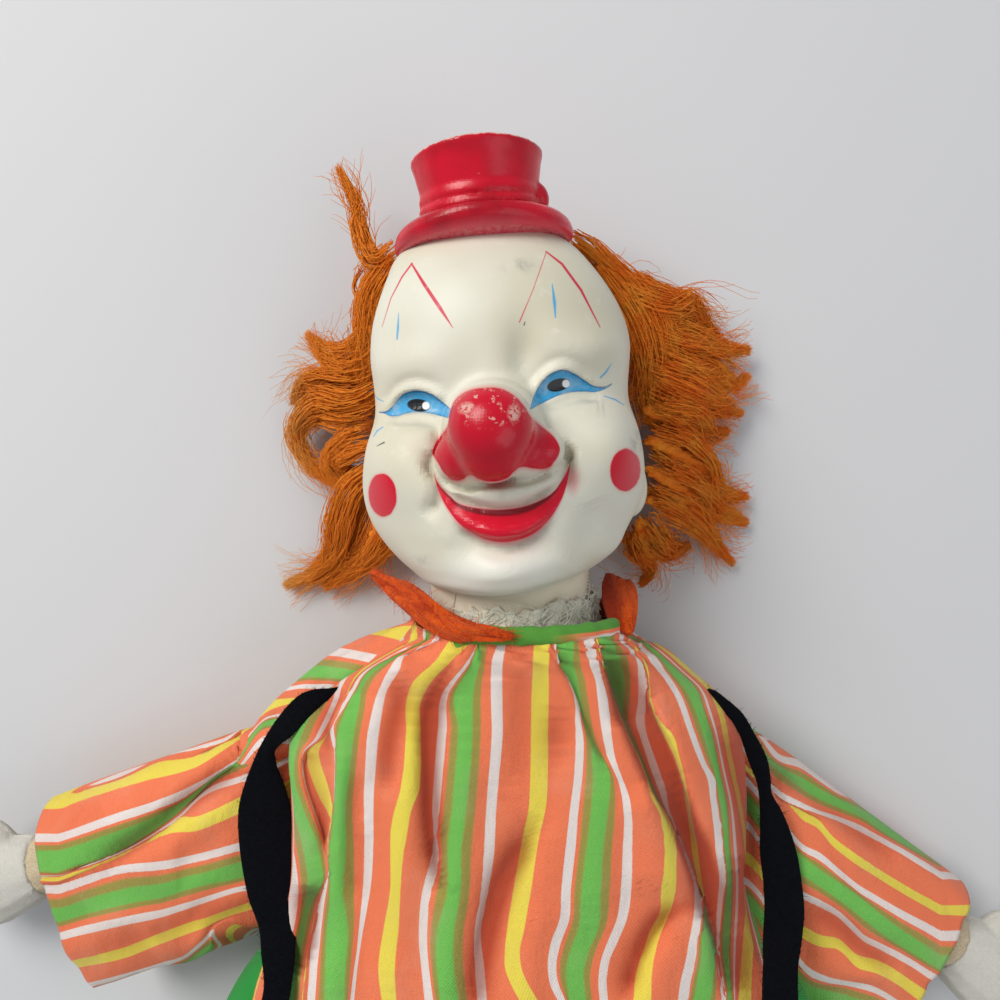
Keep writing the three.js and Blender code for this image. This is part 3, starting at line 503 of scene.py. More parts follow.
# Blocks of the head: place as pixel and height, three radii in millimetres, and how far they turn
headBlocks = [
    ((493, 428, 74), (13, 12.5, 12), 0), ((491, 428, 85.5), (10.4, 10.6, 11.3), 0),
    ((491, 452, 84), (8.2, 7.6, 9), 0), ((470, 455, 78), (8, 7.5, 8.5), 15),
    ((520, 448, 78), (8, 7.5, 8.5), -15), ((457, 459, 77), (5.8, 6.0, 6.4), 20),
    ((543, 449, 77), (5.6, 5.4, 6.4), -10), ((627, 488, 32), (6, 9.4, 8), 4),
    ((394, 508, 32), (5, 10, 8), -4),
]
noseBlocks = headBlocks[:7]  # all but the two ears
# Soft swellings and hollows: pixel, two widths in pixels, turn, height in millimetres
faceLumps = [
    ((404, 460), (25, 30), 0, 5.4), ((600, 446), (26, 30), 0, 5.8), ((420, 407), (22, 13), 4, -2.0),
    ((566, 390), (23, 12), 12, -2.2), ((404, 365), (30, 14), 6, 1.8), ((588, 350), (28, 15), -12, 3.4),
    ((470, 384), (14, 22), 0, -0.8), ((525, 362), (13, 26), 0, -3.3), ((500, 487), (45, 16), 5, 5.6),
    ((500, 523), (38, 11), 5, 3.0), ((502, 562), (34, 20), 5, 2.6), ((500, 569), (22, 12), 5, 2.2),
    ((445, 545), (22, 22), 30, 1.0), ((562, 535), (22, 22), -30, 1.0), ((440, 310), (45, 40), 0, 1.0),
    ((548, 300), (45, 40), 0, 1.0),
]
# Fine lines: pixels, width and height in millimetres
faceStrokes = [
    ([(434, 478), (447, 494), (460, 504), (478, 510.5), (498, 513), (520, 510.5), (541, 501), (557, 488),
      (569, 468)], 1.3, -2.5),
    ([(450, 508), (458, 518), (475, 529), (498, 533), (525, 528), (545, 515), (556, 500)], 1.7, 2.1),
    ([(444, 507), (458, 527), (480, 541), (502, 546), (528, 540), (548, 524), (562, 503)], 1.7, -1.7),
    ([(452, 535), (474, 550), (502, 556), (532, 549), (552, 534)], 3.0, -1.0),
    ([(588, 500), (596, 525), (588, 548), (568, 566)], 3.4, -1.1),
    ([(420, 468), (428, 470), (434, 478), (436, 492), (432, 508), (424, 519)], 1.3, -2.3),
    ([(572, 444), (567, 456), (570, 470), (573, 484), (572, 494)], 1.4, -2.4),
    ([(433, 450), (430, 461), (424, 470)], 1.2, -1.6), ([(560, 440), (565, 450), (570, 460)], 1.2, -1.6),
    ([(384, 417), (398, 421), (415, 420.5), (432, 423), (449, 430)], 1.0, -1.1),
    ([(532, 414), (552, 406), (572, 399), (590, 397.5), (604, 396)], 1.0, -1.2),
    ([(384, 424), (415, 428), (445, 437)], 2.2, 0.7), ([(536, 422), (570, 407), (606, 404)], 2.2, 0.7),
    ([(380, 407), (390, 404), (398, 395), (407, 388.5), (417, 386.5), (428, 388.5), (441, 396), (452, 404)],
     1.0, 1.3),
    ([(529, 402), (533, 392), (541, 379), (551, 370), (563, 366), (576, 370), (586, 377.5), (596, 383),
      (606, 383)], 1.0, 1.4),
    ([(376, 400), (388, 398), (396, 388), (408, 381), (424, 381), (444, 389)], 1.1, -0.6),
    ([(524, 398), (530, 384), (541, 370), (555, 361), (568, 361), (582, 368), (600, 376)], 1.1, -0.6),
    ([(457, 466), (465, 463), (471, 468)], 1.1, -1.3), ([(515, 460), (523, 457), (533, 459)], 1.1, -1.3),
]
# The eyes are set in: outline of each lens in pixels
eyeLenses = [
    [(379, 412), (384, 412.5), (391, 408), (398, 399), (407, 392.5), (417, 390.5), (428, 392.5), (440, 400),
     (452, 410),
     (452, 419), (442, 416.5), (430, 412.5), (417, 411.5), (405, 413.5), (394, 416.5), (384, 413.5)],
    [(530, 409), (534, 397), (542, 383), (552, 374), (563, 370), (575, 374), (585, 381), (595, 386.5),
     (604, 387), (611, 384), (595, 391.5), (584, 391), (573, 391.5), (562, 394), (551, 398.5), (540, 404)],
]


def insideOf(pixels, outline, soft):  # 1 inside a closed outline, 0 outside, soft at the edge
    ring = np.array(outline + outline[:1], float)
    near, side = strokeReach(pixels, ring)
    inside = np.zeros(len(pixels), bool)
    for (ax, ay), (bx, by) in zip(ring[:-1], ring[1:]):
        crosses = (ay > pixels[:, 1]) != (by > pixels[:, 1])
        with np.errstate(divide="ignore", invalid="ignore"):
            inside ^= crosses & (pixels[:, 0] < (bx - ax) * (pixels[:, 1] - ay) / (by - ay) + ax)
    return np.clip(np.where(inside, near, -near) / soft + 0.5, 0, 1)


def eggShape(bm):  # the bare head through its stations
    made = bmesh.ops.create_uvsphere(bm, u_segments=96, v_segments=72, radius=1)["verts"]
    v, u, side, front, back = zip(*head["stations"])
    around = np.array([vert.co for vert in made])
    at = v[0] + (v[-1] - v[0]) * (around[:, 2] + 1) / 2
    ring = np.maximum(np.hypot(around[:, 0], around[:, 1]), 1e-6)
    across, forward = around[:, 0] / ring, around[:, 1] / ring
    reach = np.where(forward > 0, smoothLine(v, front, at), smoothLine(v, back, at))
    places = np.stack([
        smoothLine(v, u, at) + across * smoothLine(v, side, at), at, head["middle"] + forward * reach,
    ], axis=1)
    for vert, place in zip(made, places):
        vert.co = headMatrix @ Vector(place)


def headMesh():
    bm = bmesh.new()
    eggShape(bm)
    for (px, py, z), radii, turn in headBlocks:
        block = Matrix.Translation(placeOf(px, py, z)) @ turnBy(turn) @ Matrix.Diagonal((*radii, 1))
        bmesh.ops.create_icosphere(bm, subdivisions=4, radius=1, matrix=block)
    neck = Matrix.Translation((0, head["neckMiddle"], 0)) @ turnBy(90, "X")
    bmesh.ops.create_cone(
        bm, cap_ends=True, segments=96, radius1=head["neckRadius"], radius2=head["neckRadius"],
        depth=head["neckLength"], matrix=headMatrix @ neck,
    )
    bmesh.ops.recalc_face_normals(bm, faces=bm.faces)
    bmesh.ops.scale(bm, vec=(mm, mm, mm), verts=bm.verts)
    return melted(objectFrom("head_moulding", bm), head["voxel"], head["meltRounds"])


def offNose(places):  # 0 on the nose, 1 on the rest of the face
    nearest = np.full(len(places), 9.0)
    for (px, py, z), radii, turn in noseBlocks:
        off = (places / mm - np.array(placeOf(px, py, z))) / radii
        nearest = np.minimum(nearest, np.linalg.norm(off, axis=1))
    return np.clip((nearest - 1.06) / 0.2, 0, 1)


def sculptFace(made):
    for lumps, strokes in ((faceLumps, []), ([], faceStrokes)):
        if strokes:
            melted(made, head["voxel"], head["sculptRounds"])
        mesh = made.data
        places, normals = placesOf(mesh), normalsOf(mesh)
        facing = np.clip((normals[:, 2] - 0.15) / 0.4, 0, 1)
        facing = facing * (places[:, 2] > head["frontFrom"] * mm) * offNose(places)
        move, dirtAndShade = pushes(places, lumps, strokes)
        if strokes:
            for outline in eyeLenses:
                inside = insideOf(pixelsOf(places), outline, head["lensSoft"])
                move -= inside * head["lensSink"]
                dirtAndShade += head["lensGrime"] * inside * (1 - inside)
        movePoints(mesh, places + normals * (move * facing * mm)[:, None])
    keepValue(mesh, "grime", np.clip(dirtAndShade * facing, 0, 1))
    softened(made, head["lastRounds"])
    calm = made.vertex_groups.new(name="calm")
    pixels = pixelsOf(placesOf(made.data))
    weight = sum(np.exp(-((pixels - spot) ** 2).sum(axis=1) / reach ** 2) for spot, reach in head["calmSpots"])
    for index in np.nonzero(weight > head["calmFrom"])[0]:
        calm.add([int(index)], float(min(weight[index], 1)), "REPLACE")
    softened(made, head["calmRounds"], "calm")
    made.vertex_groups.clear()
    local = (placesOf(made.data) / mm - head["pivot"]) @ np.array(headMatrix.to_3x3())
    bare = np.clip((head["bareRadius"] - np.hypot(local[:, 0], local[:, 2])) / head["bareEdge"], 0, 1)
    keepValue(made.data, "bare", bare * (local[:, 1] < head["bareTop"]))


headPiece = headMesh()
sculptFace(headPiece)
print("head points", len(headPiece.data.vertices))


# Paint on the head, in the pixels of the view
paint = {
    "cream": srgb(220, 217, 201), "creamWarm": srgb(211, 205, 182), "creamPale": srgb(231, 229, 217),
    # the brown of dirt, used also for painted shade on the neck's right side
    "neck": srgb(228, 216, 192), "dirtAndShade": srgb(120, 104, 78), "smudge": srgb(120, 122, 122),
    "red": srgb(208, 4, 40), "redDeep": srgb(158, 2, 24), "redThin": srgb(222, 92, 108),
    "mouthDark": srgb(92, 4, 16),
    "line": srgb(205, 48, 72), "blue": srgb(66, 164, 214), "blueDeep": srgb(22, 88, 140),
    "black": srgb(24, 26, 30),
    "white": srgb(240, 242, 240),
}


class Canvas:  # the view's pixels inside a material
    def __init__(self, finish):
        x, y, z = finish.split(finish.place())
        reach = scaleAt(z)
        self.finish = finish
        self.px = (x - view["x"]) * reach + view["centre"]
        self.py = (view["y"] - y) * reach + view["centre"]
        self.z = z
        self.spot = finish.vector(self.px, self.py)

    def near(self, first, last):  # distance in pixels to a straight line
        run = (last[0] - first[0], last[1] - first[1], 0)
        length = math.hypot(*run)
        off = self.finish.shifted(self.spot, (-first[0], -first[1], 0))
        dot = {"operation": "DOT_PRODUCT"}
        share = Wire(self.finish, self.finish.node(
            "ShaderNodeVectorMath", dot, {0: off, 1: tuple(v / length ** 2 for v in run)}, whole=True,
        ).outputs["Value"])
        share = self.finish.node("ShaderNodeMath", {"operation": "ADD", "use_clamp": True}, {0: share, 1: 0})[0]
        foot = self.finish.node("ShaderNodeVectorMath", {"operation": "SCALE"}, {0: run, "Scale": share})[0]
        gap = self.finish.node("ShaderNodeVectorMath", {"operation": "DISTANCE"}, {0: off, 1: foot}, whole=True)
        return Wire(self.finish, gap.outputs["Value"]), share

    def line(self, points, widths, soft=0.5):  # a brush line, with its half width at each point
        mark = None
        for first, last, start, end in zip(points[:-1], points[1:], widths[:-1], widths[1:]):
            gap, share = self.near(first, last)
            part = (share * (end - start) + start - gap).ramp(-soft, soft)
            mark = part if mark is None else mark.most(part)
        return mark

    def lines(self, rows):  # brush lines together: points, half widths, soft edge and strength
        mark = None
        for points, widths, soft, strength in rows:
            part = self.line(points, widths, soft)
            part = part if strength == 1 else part * strength
            mark = part if mark is None else mark.most(part)
        return mark

    def oval(self, centre, radii, turn=0, edge=0.06, shake=None):  # 1 inside an ellipse
        c, s = math.cos(math.radians(turn)), math.sin(math.radians(turn))
        across = ((self.px - centre[0]) * c - (self.py - centre[1]) * s) / radii[0]
        up = ((self.px - centre[0]) * s + (self.py - centre[1]) * c) / radii[1]
        reach = (across * across + up * up) ** 0.5
        if shake is not None:
            reach = reach + shake
        return reach.below(1, edge)

    def between(self, top, bottom, soft=0.7):  # 1 between two lines that run across the view
        left = max(top[0][0], bottom[0][0])
        right = min(top[-1][0], bottom[-1][0])
        under = (self.py - self.px.curve(top)).above(0, soft)
        over = (self.px.curve(bottom) - self.py).above(0, soft)
        return under * over * self.px.above(left, 0.4) * self.px.below(right, 0.4)


marks = {
    "mouthTop": [(434, 473), (440, 486), (450, 496), (460, 504), (477, 508), (494, 509.7), (511, 508.8),
                 (526, 505.8), (540, 500.5), (551, 494), (561, 482), (570, 464)],
    "mouthOpen": [(434, 473), (440, 488), (450, 499.5), (460, 508), (477, 514), (494, 516.3), (511, 515.5),
                  (526, 512.5), (540, 505.5), (551, 497.5), (561, 484), (570, 464)],
    "mouthBottom": [(434, 473), (440, 494), (450, 512), (462, 526), (475, 534.5), (488, 540), (502, 542.2),
                    (518, 540), (532, 534.5), (546, 523), (557, 508), (565, 490), (570, 466)],
    "noseTop": [(432, 453), (436, 442), (442, 434), (447, 427), (450, 412), (458, 397), (470, 390),
                (485, 387.6),
                (498, 388), (512, 394), (524, 406), (532, 418), (545, 429), (554, 437), (560, 448)],
    "noseBottom": [(432, 453), (438, 463), (447, 476), (456, 481), (463, 479.5), (470, 475.5), (478, 479),
                   (492, 482),
                   (505, 479.5), (515, 471), (523, 467), (533, 468.5), (545, 469), (554, 462), (560, 450)],
    "eyeTops": [
        [(379, 411.5), (384, 411.5), (391, 407.5), (398, 399), (407, 392.5), (417, 390.5), (428, 392.5),
         (440, 400), (452, 410)],
        [(530, 409), (534, 396), (542, 382), (552, 373), (563, 369.6), (575, 374), (585, 380.5), (595, 386),
         (604, 386.5), (612, 383)],
    ],
    "brows": [
        ([(382, 327), (391, 298), (402, 277), (412, 263.5)], [0.25, 0.5, 0.8, 0.9], 0.6, 1),
        ([(411.5, 263.5), (424, 284), (440, 308), (453, 328)], [0.9, 1.7, 1.9, 0.3], 0.6, 1),
        ([(519.5, 322), (533, 290), (546.5, 251.5)], [0.7, 0.45, 0.5], 0.6, 0.85),
        ([(546, 251.5), (562, 264), (581, 290), (600, 327)], [0.7, 1.3, 1.3, 0.5], 0.6, 1),
    ],
    "ticks": [  # thin blue lines round the eyes
        ([(398.6, 313), (398, 328), (397, 339)], [0.3, 1.1, 0.8], 0.6, 1),
        ([(552.2, 284), (554.5, 302), (555.4, 317.5)], [0.5, 1.7, 0.6], 0.6, 1),
        ([(600.5, 377.5), (606, 372), (611.5, 363.5)], [0.9, 1.0, 0.3], 0.7, 1),
        ([(604, 396), (615, 399.5), (624, 405)], [0.5, 0.8, 0.4], 0.6, 1),
        ([(374.5, 395), (378, 399), (383.5, 401.5)], [0.3, 0.6, 0.4], 0.6, 1),
        ([(373.5, 436.5), (377, 431), (383, 427)], [0.4, 0.8, 0.5], 0.6, 1),
    ],
    "scratches": [
        ([(377, 446), (384, 442.5)], [0.4, 0.9], 0.5, 1), ([(524, 325), (525, 322)], [0.7, 0.5], 0.5, 1),
    ],
    "seam": ([(453.8, 579), (456, 594), (452.4, 618)], [0.4, 0.6, 0.5], 0.6),
    "holes": ([(590.6, 567), (587.6, 587), (584.6, 607)], [0.9, 0.9, 0.9], 0.6),  # a row of stitch holes
    "smudges": [  # spot, radii, strength
        ((637, 442), (6, 9), 0.75), ((523, 264), (9, 6), 0.35), ((520, 268), (16, 5), 0.25),
        ((501, 497), (4, 7), 0.25), ((590, 400), (9, 3), 0.4), ((424, 560), (9, 5), 0.3),
    ],
    "cheeks": [((382.5, 495), (14, 21.8), 4), ((625.3, 470), (15.2, 21.4), -3)],
    "cheekHalos": [((382.5, 495), (14.6, 22.6), 4), ((625.3, 470), (15.8, 22.2), -3)],
    "eyes": [  # pupil, its turn, light spot
        ((418.7, 405.3), -7, (426, 405.6)), ((558.4, 385), 15, (566, 383.6)),
    ],
    "pupil": (11.6, 6.3), "lightSpot": (3.7, 3.9),
    "eyeBottoms": [
        [(379, 412.8), (384, 413.5), (394, 416.5), (405, 413.8), (417, 412.2), (430, 413.5), (442, 416.5),
         (452, 419)],
        [(530, 410), (540, 404.5), (551, 398.8), (562, 394.3), (573, 392), (584, 391.6), (595, 392),
         (604, 389.5), (612, 384.5)],
    ],
}


def lowered(line, down):  # the line moved down the picture
    return [(x, y + down) for x, y in line]


def headFinish():
    finish = Finish("painted_vinyl_head")
    canvas = Canvas(finish)
    place = finish.place()
    broad = finish.noise(place, 34, 2)
    fine = finish.noise(place, 5, 5, 0.65)
    specks = finish.noise(place, 1.1, 3, 0.7)
    base = finish.mix(broad.ramp(0.35, 0.7), paint["cream"], paint["creamWarm"])
    base = finish.mix(fine.ramp(0.55, 0.8) * 0.5, base, paint["creamPale"])
    # painted highlight: a paler patch where the chin catches the light
    base = finish.mix(canvas.oval((500, 574), (70, 22), 4, 0.6) * 0.8, base, paint["creamPale"])
    bare = finish.attribute("bare")
    base = finish.mix(bare, base, paint["neck"])
    grime = finish.attribute("grime")
    stain = (grime * (fine + 0.35)).ramp(0.3, 1.05) * 0.55
    base = finish.mix(stain, base, paint["dirtAndShade"])
    base = finish.mix(specks.ramp(0.74, 0.8) * 0.35, base, paint["dirtAndShade"])
    front = canvas.z.above(41, 1.5)
    thin = finish.noise(place, 2.2, 2)  # paint that skips a little

    for spot, radii, strength in marks["smudges"]:
        smudge = canvas.oval(spot, radii, 0, 0.9) * fine.ramp(0.35, 0.65) * strength
        base = finish.mix(smudge * front, base, paint["smudge"])
    base = finish.mix(canvas.lines(marks["scratches"]) * front * 0.8, base, paint["black"])
    seam = canvas.line(*marks["seam"])
    holes = canvas.line(*marks["holes"]) * canvas.py.repeat(3.4).below(1.7, 0.4)
    # painted shade: the bare neck darker on its right, away from the light
    side = canvas.px.above(586, 5) * bare * (1 - holes)
    base = finish.mix(side * 0.3, base, paint["dirtAndShade"])
    base = finish.mix(seam.most(holes) * bare * 0.75, base, paint["dirtAndShade"])

    base = finish.mix(canvas.lines(marks["brows"]) * front * (thin + 0.55).least(1), base, paint["line"])
    base = finish.mix(canvas.lines(marks["ticks"]) * front * 0.9, base, paint["blue"])

    gloss = None
    for top, bottom, (pupil, turn, shine) in zip(marks["eyeTops"], marks["eyeBottoms"], marks["eyes"]):
        lens = canvas.between(top, bottom) * front
        inner = canvas.between(lowered(top, 1.6), lowered(bottom, -0.8), 1.6)
        blue = finish.mix(inner, paint["blueDeep"], paint["blue"])
        blue = finish.mix(fine.ramp(0.4, 0.7) * 0.3, blue, paint["creamPale"])
        base = finish.mix(lens, base, blue)
        base = finish.mix(canvas.oval(pupil, marks["pupil"], turn, 0.09) * front, base, paint["black"])
        base = finish.mix(canvas.oval(shine, marks["lightSpot"], 0, 0.2) * front, base, paint["white"])
        gloss = lens if gloss is None else gloss.most(lens)

    rag = (finish.noise(canvas.spot, 7, 2) - 0.5) * 0.1
    left, right = (canvas.oval(*cheek, 0.05, rag) for cheek in marks["cheeks"])
    cheeks = left.most(right)
    left, right = (canvas.oval(*cheek, 0.16) for cheek in marks["cheekHalos"])
    halo = left.most(right)
    base = finish.mix(halo * front * 0.35, base, paint["redThin"])
    cheekRed = finish.mix(specks.ramp(0.66, 0.95) * 0.5, paint["red"], paint["redThin"])
    base = finish.mix(cheeks * front, base, cheekRed)

    mouth = canvas.between(marks["mouthTop"], marks["mouthBottom"], 0.9) * front
    mouthHalo = canvas.between(lowered(marks["mouthTop"], -1.5), lowered(marks["mouthBottom"], 3), 3.5)
    mouthHalo = mouthHalo.most(canvas.oval((573, 480), (6, 13), 0, 0.7) * 0.8)
    opening = canvas.between(marks["mouthTop"], marks["mouthOpen"], 1.6)
    base = finish.mix(mouthHalo * front * 0.55, base, paint["redThin"])
    base = finish.mix(mouth, base, finish.mix(opening * 0.85, paint["red"], paint["mouthDark"]))

    nose = canvas.between(marks["noseTop"], marks["noseBottom"], 0.9) * front
    noseHalo = canvas.between(lowered(marks["noseTop"], -2.2), lowered(marks["noseBottom"], 2.4), 2.6)
    worn = finish.noise(canvas.spot, 7, 3, 0.65).ramp(0.575, 0.61) * canvas.oval((490, 406), (33, 19), 0, 0.4)
    worn = worn.most(canvas.oval((466, 408), (7, 5), 20, 0.5, rag * 4))
    worn = worn.most(canvas.oval((514, 413), (5.5, 8.5), 0, 0.5, rag * 4))
    worn = worn * finish.noise(canvas.spot, 3, 2).ramp(0.36, 0.5)
    noseRed = finish.mix(broad.ramp(0.3, 0.8) * 0.6, paint["red"], paint["redDeep"])
    noseRed = finish.mix(worn * 0.9, noseRed, finish.mix(fine, paint["creamWarm"], paint["redThin"]))
    base = finish.mix(noseHalo * front * 0.5, base, paint["redThin"])
    base = finish.mix(nose, base, noseRed)

    painted = nose.most(mouth).most(cheeks * front).most(gloss)
    finish.set(
        Base_Color=base,
        Roughness=0.42 - painted * 0.2 + fine * 0.08 + grime * 0.2 + worn * nose * 0.25,
        Normal=finish.bump(fine * 0.5 + painted * 0.6 - worn * nose * 0.5, 0.09),
        Specular_IOR_Level=0.38,
    )
    return finish


dress(headPiece, "head", "painted_vinyl", headFinish(), "head_shell")

# Hat, in the same moulding: turned from one profile, with its bow as a small lump
hat = {
    "line": 126.3, "forward": 12, "tilt": 13.5, "roll": 1, "segments": 96, "voxel": 0.55,
    "profile": [
        (0, -8), (16, -6), (21.5, -3.4), (24.4, -2.9), (25.8, -1.2), (26, 0.4), (25.2, 2.2), (23.4, 3.2),
        (20.5, 3.2), (17.9, 3.4), (17.1, 4.4), (17.9, 5.6), (17.6, 6.6), (16.9, 7.3), (17.6, 8.2),
        (17.4, 9.4), (17.0, 10.6), (17.4, 13), (18.1, 17), (18.8, 19.7), (18.6, 20.3), (17.4, 20.5),
        (15.5, 19.9), (0, 19.9),
    ],
    "bow": ((16.4, 7.4, 3.5), (2.9, 4.2, 3.2), 18),  # centre, radii, turn
    "lean": 0.085,  # its top and brim rise towards the front
    "crownFrom": 5, "crownHigh": 17, "crownBow": 1.2, "crownReach": 18, "crownTop": 20.3,
    "brimFrom": 17, "brimWide": 9, "brimDroop": 3.6, "brimReach": 26,
    "rimWide": 0.75, "rimFrom": 15.5, "rimSoft": 1.5, "underFrom": 0.9, "underSoft": 2.6,
}
hatMatrix = headMatrix @ Matrix.Translation((0, hat["line"], hat["forward"]))
hatMatrix = hatMatrix @ turnBy(hat["tilt"], "X") @ turnBy(hat["roll"])


def hatMesh():
    bm = bmesh.new()
    line = [bm.verts.new((r, v, 0)) for r, v in hat["profile"]]
    edges = [bm.edges.new(pair) for pair in zip(line[:-1], line[1:])]
    bmesh.ops.spin(
        bm, geom=line + edges, cent=(0, 0, 0), axis=(0, 1, 0), angle=math.tau, steps=hat["segments"],
        use_merge=True,
    )
    bmesh.ops.remove_doubles(bm, verts=bm.verts, dist=0.001)
    centre, radii, turn = hat["bow"]
    bow = Matrix.Translation(centre) @ turnBy(turn) @ Matrix.Diagonal((*radii, 1))
    bmesh.ops.create_icosphere(bm, subdivisions=3, radius=1, matrix=bow)
    for vert in bm.verts:
        x, v, w = vert.co
        crown = min(max((v - hat["crownFrom"]) / hat["crownHigh"], 0), 1)
        brim = min(max((math.hypot(x, w) - hat["brimFrom"]) / hat["brimWide"], 0), 1) * (v < hat["crownFrom"])
        vert.co.y += crown * (w * hat["lean"] - hat["crownBow"] * (x / hat["crownReach"]) ** 2)
        vert.co.y += brim * (w * hat["lean"] - hat["brimDroop"] * (x / hat["brimReach"]) ** 2)
    bmesh.ops.recalc_face_normals(bm, faces=bm.faces)
    bmesh.ops.transform(bm, matrix=Matrix.Scale(mm, 4) @ hatMatrix, verts=bm.verts)
    made = melted(objectFrom("hat_moulding", bm), hat["voxel"], 4)
    x, v, w = ((placesOf(made.data) / mm - np.array(hatMatrix.translation)) @ np.array(hatMatrix.to_3x3())).T
    top = hat["crownTop"] + w * hat["lean"] - hat["crownBow"] * (x / hat["crownReach"]) ** 2
    rim = np.exp(-((v - top) / hat["rimWide"]) ** 2)
    rim = rim * np.clip((np.hypot(x, w) - hat["rimFrom"]) / hat["rimSoft"], 0, 1)
    keepValue(made.data, "rim", np.clip(rim, 0, 1))
    brim = hat["brimDroop"] * (x / hat["brimReach"]) ** 2
    keepValue(made.data, "under", np.clip((hat["underFrom"] - v - brim) / hat["underSoft"], 0, 1))
    return made


def hatFinish():
    finish = Finish("painted_vinyl_hat")
    place = finish.place()
    fine = finish.noise(place, 1.6, 4, 0.65)
    broad = finish.noise(place, 14, 2)
    rim, under = finish.attribute("rim"), finish.attribute("under")
    worn = (rim + fine * 0.9).ramp(1.0, 1.3)
    chips = finish.noise(place, 2.4, 4, 0.7).ramp(0.715, 0.74)
    red = finish.mix(broad.ramp(0.3, 0.75), paint["red"], paint["redDeep"])
    red = finish.mix(under * 0.55, red, paint["redThin"])
    sprayed = (under * 0.82 + fine * 0.35).ramp(0.95, 1.3)  # the paint thins out on the underside
    base = finish.mix(sprayed, red, paint["cream"])
    bareVinyl = finish.mix(fine.ramp(0.3, 0.7), paint["redThin"], paint["creamWarm"])
    base = finish.mix(worn.most(chips * 0.7) * 0.9, base, bareVinyl)
    finish.set(
        Base_Color=base,
        Roughness=0.22 + fine * 0.12 + worn * 0.3,
        Normal=finish.bump(finish.noise(place, 9, 2) * 0.5 + fine * 0.12 - worn * 0.3, 0.35),
        Specular_IOR_Level=0.38,
    )
    return finish


hatPiece = hatMesh()
dress(hatPiece, "head", "painted_vinyl", hatFinish(), "head_shell")
print("hat points", len(hatPiece.data.vertices))

